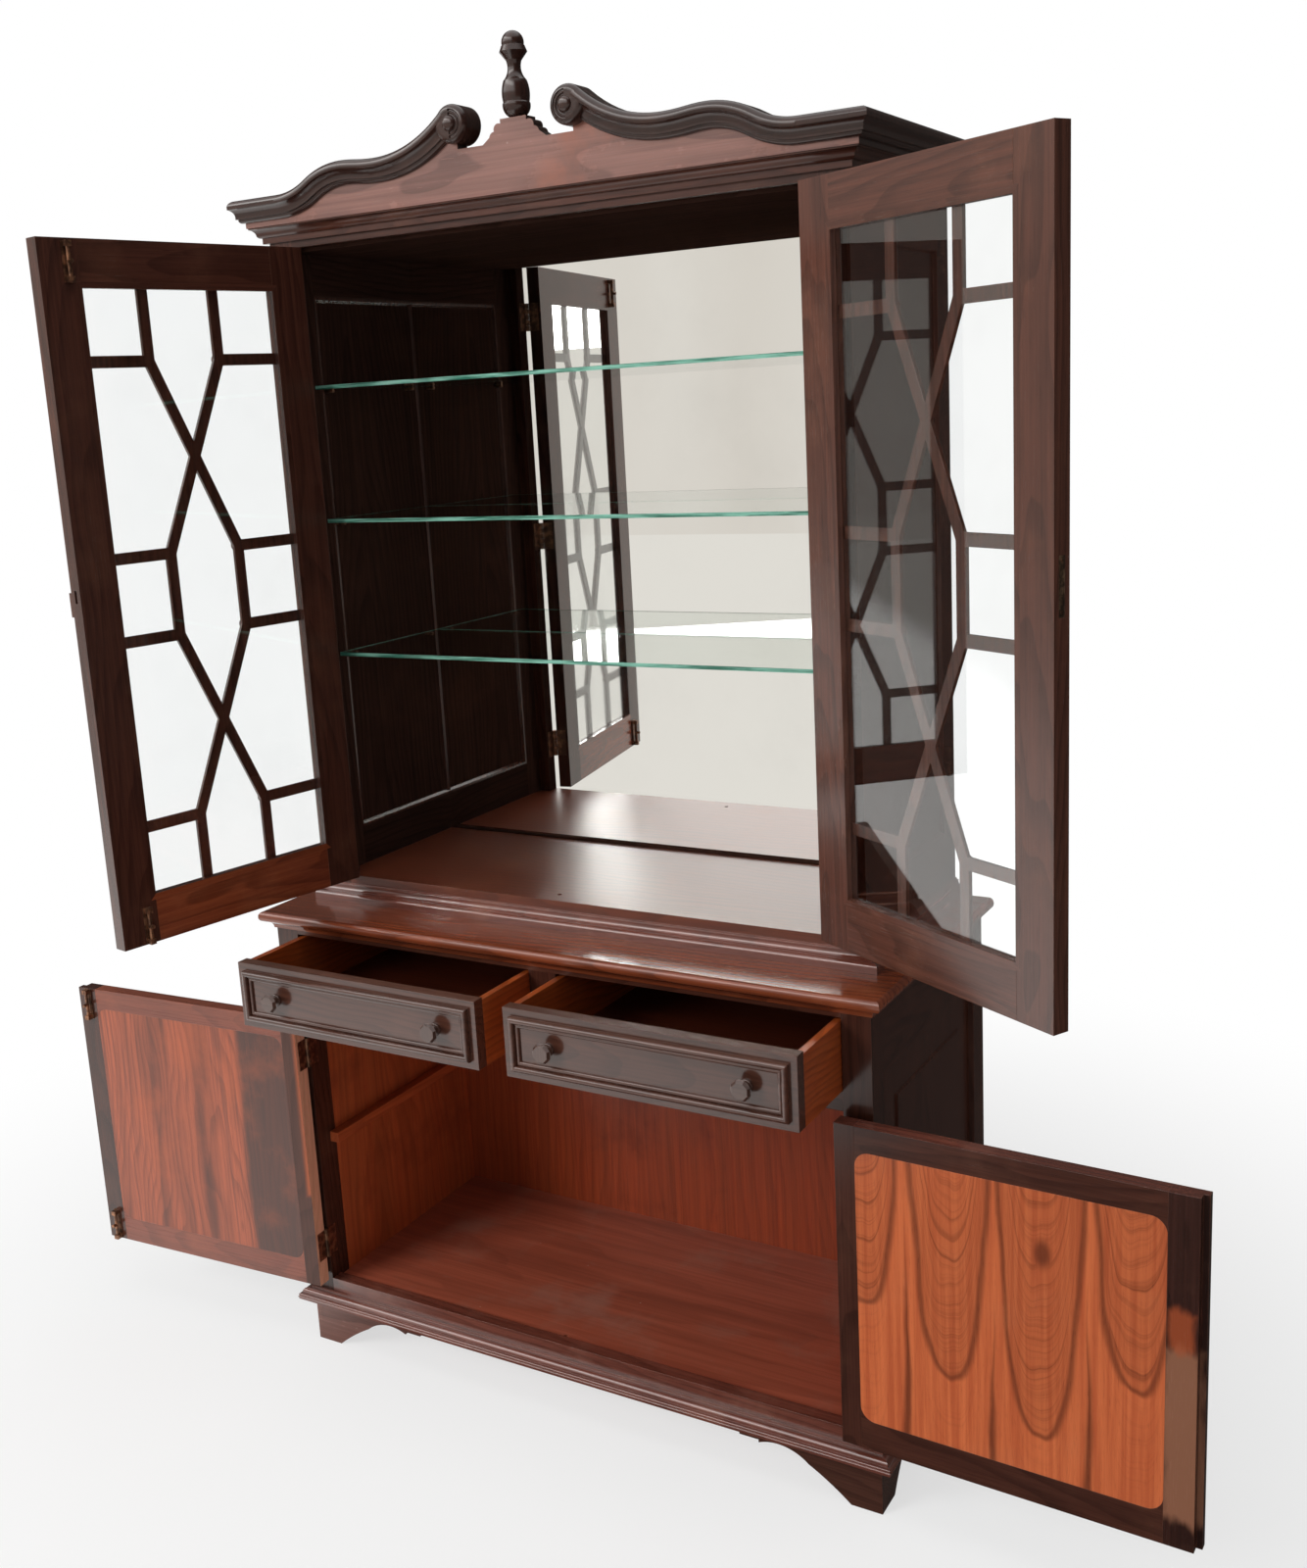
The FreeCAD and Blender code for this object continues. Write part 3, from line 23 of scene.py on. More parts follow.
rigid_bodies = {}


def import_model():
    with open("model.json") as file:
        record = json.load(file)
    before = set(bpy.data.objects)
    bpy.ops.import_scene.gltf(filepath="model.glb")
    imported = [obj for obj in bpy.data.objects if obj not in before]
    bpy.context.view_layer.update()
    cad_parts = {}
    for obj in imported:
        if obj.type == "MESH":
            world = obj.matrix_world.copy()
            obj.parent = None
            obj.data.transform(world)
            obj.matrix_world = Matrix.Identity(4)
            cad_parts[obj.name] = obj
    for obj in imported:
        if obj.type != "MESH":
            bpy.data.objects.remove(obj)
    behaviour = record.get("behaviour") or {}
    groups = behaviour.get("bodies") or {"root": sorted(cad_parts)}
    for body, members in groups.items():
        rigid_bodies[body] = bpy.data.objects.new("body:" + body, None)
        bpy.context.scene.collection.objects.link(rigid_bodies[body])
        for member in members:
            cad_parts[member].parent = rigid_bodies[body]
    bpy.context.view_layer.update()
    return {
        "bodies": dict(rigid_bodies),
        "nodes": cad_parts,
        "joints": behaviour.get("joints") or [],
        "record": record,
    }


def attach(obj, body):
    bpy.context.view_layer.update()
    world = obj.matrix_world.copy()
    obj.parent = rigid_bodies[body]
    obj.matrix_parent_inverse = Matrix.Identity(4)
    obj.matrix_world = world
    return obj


LOG = logging.getLogger("cabinet")
PLACE, SPOT, TONE = "grain_place", "board_spot", "board_tone"
VECTOR, COLOUR, NUMBER = "NodeSocketVector", "NodeSocketColor", "NodeSocketFloat"
FRONT_Y = -0.062356  # the plane of the cupboard doors' outer faces, when shut
PROUD = 0.0048  # how far the hinge pins stand out in front of their doors
FACING = 0.5  # a normal with more than this along an axis faces that way
TURNS = {  # degrees by which each door stands turned at rest
    "lower_left_door": -176.6,
    "lower_right_door": 178.0,
    "upper_left_door": -101.3,
    "upper_right_door": 151.0,
}
BOLT_PARTS = ("plates", "top", "bottom")
SIDES = ("left", "right")

Triple = tuple[float, float, float]
Socket = bpy.types.NodeSocket


def tint(red: float, green: float, blue: float) -> Triple:
    """Turns a colour as seen on a screen into the linear one that shaders use.

    Args:
        red: Red, 0 to 255.
        green: Green, 0 to 255.
        blue: Blue, 0 to 255.

    Returns:
        The linear colour, 0 to 1.
    """
    def linear(value: float) -> float:
        """One channel."""
        share = value / 255
        return share / 12.92 if share <= 0.04045 else ((share + 0.055) / 1.055) ** 2.4

    return (linear(red), linear(green), linear(blue))


class Run(Enum):
    """Which way the grain of a board runs."""

    LONGEST = "longest"
    ACROSS = "across"
    DEEP = "deep"
    UPRIGHT = "upright"


@dataclass
class Wiring:
    """Makes and links the nodes of one tree."""

    tree: bpy.types.NodeTree

    def feed(self, node: bpy.types.Node, inputs: dict) -> None:
        """Sets inputs of a node.

        Args:
            node: The node.
            inputs: Values or output sockets for its inputs, by name or number.
        """
        for name, value in inputs.items():
            socket = node.inputs[name]
            if isinstance(value, Socket):
                self.tree.links.new(value, socket)
            elif isinstance(value, tuple) and len(value) == 3 and socket.type == "RGBA":
                socket.default_value = (*value, 1.0)
            else:
                socket.default_value = value

    def add(self, kind: str, inputs: dict | None = None, **settings: object) -> bpy.types.Node:
        """Adds a node.

        Args:
            kind: The node's type.
            inputs: Values or output sockets for its inputs, by name or number.
            settings: The node's own settings.

        Returns:
            The node.
        """
        node = self.tree.nodes.new(kind)
        for name, value in settings.items():
            setattr(node, name, value)
        self.feed(node, inputs or {})
        return node

    def group(self, tree: bpy.types.NodeTree, inputs: dict) -> bpy.types.NodeOutputs:
        """Adds a shared node group and gives its outputs."""
        return self.add("ShaderNodeGroup", inputs, node_tree=tree).outputs

    def maths(self, operation: str, *values: object, clamp: bool = False) -> Socket:
        """Adds a Math node and gives its output."""
        node = self.add("ShaderNodeMath", dict(enumerate(values)), operation=operation, use_clamp=clamp)
        return node.outputs[0]

    def times(self, first: object, second: object, clamp: bool = False) -> Socket:
        """Multiplies two values."""
        return self.maths("MULTIPLY", first, second, clamp=clamp)

    def plus(self, first: object, second: object, clamp: bool = False) -> Socket:
        """Adds two values."""
        return self.maths("ADD", first, second, clamp=clamp)

    def less(self, first: object, second: object) -> Socket:
        """Takes the second value from the first."""
        return self.maths("SUBTRACT", first, second)

    def vector(self, operation: str, *values: object, output: str = "Vector") -> Socket:
        """Adds a Vector Math node and gives its vector, or the number that it finds as output "Value"."""
        return self.add("ShaderNodeVectorMath", dict(enumerate(values)), operation=operation).outputs[output]

    def parts(self, vector: Socket) -> bpy.types.NodeOutputs:
        """The three numbers of a vector."""
        return self.add("ShaderNodeSeparateXYZ", {0: vector}).outputs

    def where(self, output: str = "Object") -> Socket:
        """The place or the way that is shaded."""
        return self.add("ShaderNodeTexCoord").outputs[output]

    def attribute(self, name: str, output: str = "Vector") -> Socket:
        """What the mesh holds under a name."""
        return self.add("ShaderNodeAttribute", attribute_name=name).outputs[output]

    def noise(self, place: Socket, scale: float, detail: float = 2.0, rough: float = 0.5) -> Socket:
        """Adds a Noise node and gives its value."""
        inputs = {"Vector": place, "Scale": scale, "Detail": detail, "Roughness": rough}
        return self.add("ShaderNodeTexNoise", inputs).outputs[0]

    def streaky(self, place: Socket, scales: Triple, detail: float = 2.0, rough: float = 0.5) -> Socket:
        """Noise with a scale of its own along each axis."""
        return self.noise(self.vector("MULTIPLY", place, scales), 1.0, detail, rough)

    def span(
        self, value: Socket, low: float, high: float, to_low: float = 0.0, to_high: float = 1.0
    ) -> Socket:
        """Maps a value from one range to another, smoothly and within it."""
        inputs = {"Value": value, "From Min": low, "From Max": high, "To Min": to_low, "To Max": to_high}
        return self.add("ShaderNodeMapRange", inputs, interpolation_type="SMOOTHSTEP").outputs[0]

    def mix(self, share: object, first: object, second: object) -> Socket:
        """Mixes two colours and gives the result."""
        return self.add("ShaderNodeMix", {0: share, 6: first, 7: second}, data_type="RGBA").outputs[2]


def start_material(name: str) -> tuple[bpy.types.Material, Wiring, bpy.types.Node]:
    """Starts a material.

    Args:
        name: Its name.

    Returns:
        The material, the wiring of its tree and its shader.
    """
    material = bpy.data.materials.new(name)
    material.use_nodes = True
    return material, Wiring(material.node_tree), material.node_tree.nodes["Principled BSDF"]


class Effects:
    """The shared effects, each a node group built once."""

    corner_radius = 0.0012  # metres over which a corner is rounded
    leaf_width = 0.1243  # metres, one leaf of the matched veneer
    first_leaf = 0.2  # metres from the panel's middle to the first leaf's

    def __init__(self) -> None:
        """Builds every group."""
        self.grain = self.build_grain()
        self.wear = self.build_wear()
        self.edges = self.build_edges()
        self.patch = self.build_patch()
        self.veneer = self.build_veneer()

    @staticmethod
    def new_group(
        name: str, inputs: dict[str, tuple[str, ...]], outputs: dict[str, tuple[str, ...]]
    ) -> tuple[Wiring, bpy.types.NodeOutputs, bpy.types.Node]:
        """Starts a shader node group.

        Args:
            name: The group's name.
            inputs: Names of the inputs, by socket type.
            outputs: Names of the outputs, by socket type.

        Returns:
            The wiring of its tree, the sockets that give its inputs, and its output node.
        """
        tree = bpy.data.node_groups.new(name, "ShaderNodeTree")
        for way, sockets in (("INPUT", inputs), ("OUTPUT", outputs)):
            for kind, labels in sockets.items():
                for label in labels:
                    tree.interface.new_socket(label, in_out=way, socket_type=kind)
        wiring = Wiring(tree)
        return wiring, wiring.add("NodeGroupInput").outputs, wiring.add("NodeGroupOutput")

    def build_grain(self) -> bpy.types.NodeTree:
        """Growth rings, streaks and pores of sawn hardwood, along the first axis of the place.

        Returns:
            The node group.
        """
        numbers = ("Ring Spacing", "Ring Tilt", "Bend", "Figure", "Streaks", "Pores", "Tone")
        w, g, out = self.new_group(
            "wood_grain",
            {VECTOR: ("Place",), COLOUR: ("Light", "Middle", "Dark"), NUMBER: numbers},
            {COLOUR: ("Colour",), NUMBER: ("Sheen Mask", "Height")},
        )
        place = g["Place"]
        along, across, deep = w.parts(place)
        drift = w.times(w.less(w.streaky(place, (2.2, 9.0, 9.0)), 0.5), w.times(g["Bend"], 0.07))
        flat = w.add("ShaderNodeCombineXYZ", {1: across, 2: deep}).outputs[0]
        radius = w.vector("LENGTH", flat, output="Value")
        ring = w.plus(w.plus(radius, w.times(along, g["Ring Tilt"])), drift)
        saw = w.maths("FRACT", w.maths("DIVIDE", ring, g["Ring Spacing"]))
        late = w.times(w.span(saw, 0.35, 0.95), w.span(saw, 1.0, 0.95))
        figure = w.times(late, g["Figure"], clamp=True)
        fine = w.streaky(place, (3.0, 210.0, 210.0), 4.0, 0.65)
        broad = w.streaky(place, (1.4, 26.0, 26.0), 3.0, 0.55)
        streak = w.span(w.plus(w.times(fine, 0.55), w.times(broad, 0.55)), 0.38, 0.72)
        patch = w.streaky(place, (2.5, 6.0, 6.0), 1.0)
        base = w.mix(w.times(w.plus(streak, 0.25), g["Streaks"], clamp=True), g["Middle"], g["Light"])
        shade = w.span(w.plus(broad, w.times(patch, 0.5)), 0.62, 1.0, 0.0, 0.55)
        base = w.mix(w.times(shade, g["Streaks"]), base, g["Dark"])
        base = w.mix(figure, base, g["Dark"])
        pore = w.times(w.span(w.streaky(place, (34.0, 1500.0, 1500.0), 1.0), 0.60, 0.70), g["Pores"])
        base = w.mix(w.times(pore, 0.7), base, w.vector("MULTIPLY", g["Dark"], (0.55, 0.5, 0.5)))
        tone = w.times(w.plus(w.times(g["Tone"], 0.15), 1.0), w.span(patch, 0.2, 0.8, 0.84, 1.14))
        toned = w.add("ShaderNodeVectorMath", {0: base, "Scale": tone}, operation="SCALE")
        w.feed(out, {
            "Colour": toned.outputs[0],
            "Sheen Mask": w.plus(w.times(fine, 0.5), w.times(pore, 0.5)),
            "Height": w.less(w.times(fine, 0.3), pore),
        })
        return w.tree

    def build_wear(self) -> bpy.types.NodeTree:
        """Rubbed patches, thin scratches, pale specks and dulled polish on an old surface.

        Returns:
            The node group.
        """
        w, g, out = self.new_group(
            "old_polish",
            {
                VECTOR: ("Place",), COLOUR: ("Colour", "Worn"),
                NUMBER: ("Amount", "Specks", "Roughness", "Mask"),
            },
            {COLOUR: ("Colour",), NUMBER: ("Roughness",)},
        )
        place = g["Place"]
        rubbed = w.times(w.span(w.noise(place, 7.0, 5.0, 0.62), 0.50, 0.74), g["Amount"])
        scratch = w.streaky(place, (20.0, 300.0, 120.0), 3.0, 0.7)
        scratch = w.times(w.span(scratch, 0.66, 0.74), w.times(g["Amount"], 0.6))
        both = w.plus(rubbed, scratch, clamp=True)
        dots = w.add("ShaderNodeTexVoronoi", {"Vector": place, "Scale": 22.0, "Randomness": 1.0}).outputs[0]
        speck = w.times(w.span(dots, 0.045, 0.02), g["Specks"])
        rough = w.plus(g["Roughness"], w.times(both, 0.22))
        dull = w.times(w.less(g["Mask"], 0.5), 0.16)
        w.feed(out, {
            "Colour": w.mix(speck, w.mix(both, g["Colour"], g["Worn"]), tint(190, 176, 160)),
            "Roughness": w.plus(rough, dull, clamp=True),
        })
        return w.tree

    def build_edges(self) -> bpy.types.NodeTree:
        """Softened corners: a normal that rounds them, and a mask of where hands have rubbed them.

        Returns:
            The node group.
        """
        outputs = {VECTOR: ("Normal",), NUMBER: ("Mask",)}
        w, g, out = self.new_group("soft_edges", {VECTOR: ("Place",)}, outputs)
        bevel = w.add("ShaderNodeBevel", {"Radius": self.corner_radius}, samples=4).outputs[0]
        normal = w.add("ShaderNodeNewGeometry").outputs["Normal"]
        corner = w.span(w.vector("DOT_PRODUCT", bevel, normal, output="Value"), 0.995, 0.90)
        broken = w.span(w.noise(g["Place"], 24.0, 4.0, 0.6), 0.38, 0.66, 0.15, 1.0)
        w.feed(out, {"Normal": bevel, "Mask": w.times(corner, broken)})
        return w.tree

    def build_patch(self) -> bpy.types.NodeTree:
        """A soft, ragged patch on a board, lighter or darker than the wood around it.

        Returns:
            The node group.
        """
        w, g, out = self.new_group(
            "soft_patch",
            {VECTOR: ("Spot", "Middle", "Half Size"), NUMBER: ("Ragged",)},
            {NUMBER: ("Mask",)},
        )
        away = w.vector("ABSOLUTE", w.vector("SUBTRACT", g["Spot"], g["Middle"]))
        over = w.parts(w.vector("SUBTRACT", away, g["Half Size"]))
        far = w.maths("MAXIMUM", over[0], over[1])
        cloud = w.streaky(g["Spot"], (6.0, 22.0, 22.0), 4.0, 0.6)
        ragged = w.times(w.less(cloud, 0.5), w.times(g["Ragged"], 3.0))
        w.feed(out, {"Mask": w.span(w.plus(far, ragged), 0.006, -0.012)})
        return w.tree

    def build_veneer(self) -> bpy.types.NodeTree:
        """Four matched leaves of crown-cut veneer, each with loops of dark grain nested upwards.

        Returns:
            The node group.
        """
        w, g, out = self.new_group(
            "matched_veneer",
            {VECTOR: ("Spot",), COLOUR: ("Light", "Middle", "Dark")},
            {COLOUR: ("Colour",), NUMBER: ("Height",)},
        )
        spot = g["Spot"]
        along, side, _ = w.parts(spot)
        wander = w.less(w.streaky(spot, (5.0, 16.0, 1.0)), 0.5)
        across = w.plus(w.plus(w.times(side, -1.0), self.first_leaf), w.times(wander, 0.022))
        half = self.leaf_width / 2
        near = w.maths("DIVIDE", w.maths("PINGPONG", across, half), half)
        leaf = w.maths("FLOOR", w.plus(w.maths("DIVIDE", across, self.leaf_width), 0.5))
        ramp = w.add("ShaderNodeValToRGB", {0: w.times(w.plus(leaf, 0.5), 0.25)})
        ramp.color_ramp.interpolation = "CONSTANT"
        stops = ((0.0, 0.55), (0.25, 0.74), (0.5, 0.86), (0.75, 0.61))
        while len(ramp.color_ramp.elements) < len(stops):
            ramp.color_ramp.elements.new(0.5)
        for element, (place, drop) in zip(ramp.color_ramp.elements, stops):
            element.position = place
            element.color = (drop, drop, drop, 1.0)
        foot = w.times(w.less(0.5, ramp.outputs[0]), 0.412)
        rise = w.times(w.maths("POWER", near, 3.2), 0.46)
        level = w.plus(w.less(w.less(along, foot), rise), w.times(wander, 0.06))
        slope = w.times(w.maths("POWER", near, 2.2), 24.0)
        slope = w.maths("SQRT", w.plus(w.times(slope, slope), 1.0))
        inside = w.span(level, -0.004, 0.010)
        steps = w.add("ShaderNodeCombineXYZ", {0: w.times(level, 58.0), 1: leaf}).outputs[0]
        lines = w.span(w.noise(steps, 1.0, 3.0, 0.75), 0.46, 0.70)
        lines = w.times(lines, w.plus(w.times(inside, 0.50), 0.14))
        gap = w.maths("DIVIDE", w.maths("ABSOLUTE", w.plus(level, -0.002)), slope)
        rim = w.span(gap, 0.0075, 0.0006, 0.0, 0.66)
        spike = w.times(w.span(near, 0.84, 0.99), w.span(level, -0.26, -0.50, 0.0, 0.8))
        flame = w.span(w.streaky(spot, (3.0, 120.0, 1.0), 4.0, 0.6), 0.3, 0.7)
        deep = w.mix(w.times(inside, 0.18), w.mix(flame, g["Middle"], g["Light"]), g["Dark"])
        knot = w.vector("DIVIDE", w.vector("SUBTRACT", spot, (0.118, -0.052, 0.0)), (0.016, 0.009, 1.0))
        knot = w.vector("LENGTH", w.vector("MULTIPLY", knot, (1.0, 1.0, 0.0)), output="Value")
        blot = w.span(knot, 1.9, 0.5, 0.0, 0.8)
        mask = w.maths("MAXIMUM", w.maths("MAXIMUM", lines, rim), w.maths("MAXIMUM", spike, blot))
        pore = w.span(w.streaky(spot, (40.0, 1300.0, 1.0), 1.0), 0.62, 0.72, 0.0, 0.3)
        mask = w.plus(mask, pore, clamp=True)
        w.feed(out, {"Colour": w.mix(mask, deep, g["Dark"]), "Height": w.times(mask, -1.0)})
        return w.tree


@dataclass(frozen=True)
class Patch:
    """A soft patch on a board, placed from the board's middle in metres. Its colour is as on a screen."""

    colour: Triple
    middle: Triple
    half: Triple
    strength: float
    ragged: float


@dataclass(frozen=True)
class Wood:
    """A hardwood under old polish. Its four colours are as seen on a screen, 0 to 255."""

    name: str
    light: Triple
    middle: Triple
    dark: Triple
    worn: Triple
    roughness: float = 0.2
    coat: float = 0.2
    coat_roughness: float = 0.16
    specular: float = 0.3
    spacing: float = 0.012
    tilt: float = 0.07
    bend: float = 1.0
    figure: float = 0.3
    streaks: float = 0.7
    pores: float = 0.5
    wear: float = 0.2
    specks: float = 0.0
    edge_wear: float = 0.45
    relief: float = 0.00012
    matched: bool = False
    patches: tuple[Patch, ...] = ()

    def build(self, effects: Effects) -> bpy.types.Material:
        """Makes the material.

        Args:
            effects: The shared node groups.

        Returns:
            The material.
        """
        material, w, shader = start_material(self.name)
        place, spot = w.attribute(PLACE), w.attribute(SPOT)
        edges = w.group(effects.edges, {"Place": place})
        colours = {"Light": tint(*self.light), "Middle": tint(*self.middle), "Dark": tint(*self.dark)}
        worn = tint(*self.worn)
        grain = w.group(effects.grain, {
            **colours, "Place": place, "Tone": w.attribute(TONE, "Fac"), "Ring Spacing": self.spacing,
            "Ring Tilt": self.tilt, "Bend": self.bend, "Figure": self.figure, "Streaks": self.streaks,
            "Pores": self.pores,
        })
        figure = w.group(effects.veneer, {**colours, "Spot": spot}) if self.matched else grain
        colour = figure["Colour"]
        for patch in self.patches:
            patch_shape = w.group(effects.patch, {
                "Spot": spot, "Middle": patch.middle, "Half Size": patch.half, "Ragged": patch.ragged,
            })
            colour = w.mix(w.times(patch_shape["Mask"], patch.strength), colour, tint(*patch.colour))
        old = w.group(effects.wear, {
            "Place": place, "Colour": colour, "Mask": grain["Sheen Mask"], "Worn": worn,
            "Amount": self.wear, "Specks": self.specks, "Roughness": self.roughness,
        })
        bump = w.add("ShaderNodeBump", {
            "Strength": 0.35, "Distance": self.relief, "Height": figure["Height"], "Normal": edges["Normal"],
        })
        w.feed(shader, {
            "Base Color": w.mix(w.times(edges["Mask"], self.edge_wear), old["Colour"], worn),
            "Roughness": old["Roughness"],
            "Normal": bump.outputs[0],
            "Specular IOR Level": self.specular,
            "Coat Weight": self.coat,
            "Coat Roughness": self.coat_roughness,
        })
        return material


@dataclass(frozen=True)
class Metal:
    """Patinated metal, brighter where it is rubbed."""

    name: str
    bright: Triple
    dull: Triple
    roughness: float = 0.42
    metal: float = 0.75

    def build(self) -> bpy.types.Material:
        """Makes the material."""
        material, w, shader = start_material(self.name)
        place = w.where()
        cloud = w.noise(place, 90.0, 4.0, 0.6)
        pits = w.noise(place, 700.0)
        bump = w.add("ShaderNodeBump", {"Strength": 0.2, "Distance": 0.0001, "Height": pits})
        w.feed(shader, {
            "Base Color": w.mix(w.span(cloud, 0.40, 0.66), self.dull, self.bright),
            "Roughness": w.plus(w.times(w.less(cloud, 0.5), 0.5), self.roughness, clamp=True),
            "Normal": bump.outputs[0],
            "Metallic": self.metal,
        })
        return material


@dataclass(frozen=True)
class Glass:
    """Clear or tinted glass with faint smears."""

    name: str
    body: Triple
    ior: float = 1.5
    smear: float = 0.965

    def build(self) -> bpy.types.Material:
        """Makes the material."""
        material, w, shader = start_material(self.name)
        cloud = w.span(w.noise(w.where(), 5.0, 4.0, 0.6), 0.4, 0.7)
        w.feed(shader, {
            "Base Color": w.mix(cloud, self.body, tuple(self.smear * share for share in self.body)),
            "Roughness": 0.0,
            "IOR": self.ior,
            "Transmission Weight": 1.0,
        })
        return material


@dataclass(frozen=True)
class GlassEdge:
    """The cut edge of a glass sheet, where its own green shows."""

    name: str
    bright: Triple
    deep: Triple

    def build(self) -> bpy.types.Material:
        """Makes the material."""
        material, w, shader = start_material(self.name)
        cloud = w.streaky(w.where(), (14.0, 14.0, 300.0), 3.0, 0.6)
        w.feed(shader, {
            "Base Color": w.mix(w.span(cloud, 0.35, 0.65), self.deep, self.bright),
            "Roughness": w.span(cloud, 0.3, 0.7, 0.08, 0.22),
        })
        return material


@dataclass(frozen=True)
class Mirror:
    """Silvered glass with faint clouding."""

    name: str
    silver: Triple
    clouding: float = 0.93

    def build(self) -> bpy.types.Material:
        """Makes the material."""
        material, w, shader = start_material(self.name)
        cloud = w.span(w.noise(w.where(), 3.0, 5.0, 0.6), 0.45, 0.8)
        w.feed(shader, {
            "Base Color": w.mix(cloud, self.silver, tuple(self.clouding * share for share in self.silver)),
            "Roughness": w.times(cloud, 0.04),
            "Metallic": 1.0,
        })
        return material


@dataclass(frozen=True)
class Face:
    """A face as the rules see it, with its door turned shut.

    Attributes:
        low: The lowest corner of its board.
        high: The highest corner of its board.
        normal: The way it faces.
        middle: Its middle.
    """

    low: np.ndarray
    high: np.ndarray
    normal: np.ndarray
    middle: np.ndarray

    @property
    def size(self) -> np.ndarray:
        """Size of its board's box."""
        return self.high - self.low


@dataclass(frozen=True)
class Rule:
    """Gives another finish to those faces of a piece that pass a test."""

    finish: str
    test: Callable[[Face], bool]


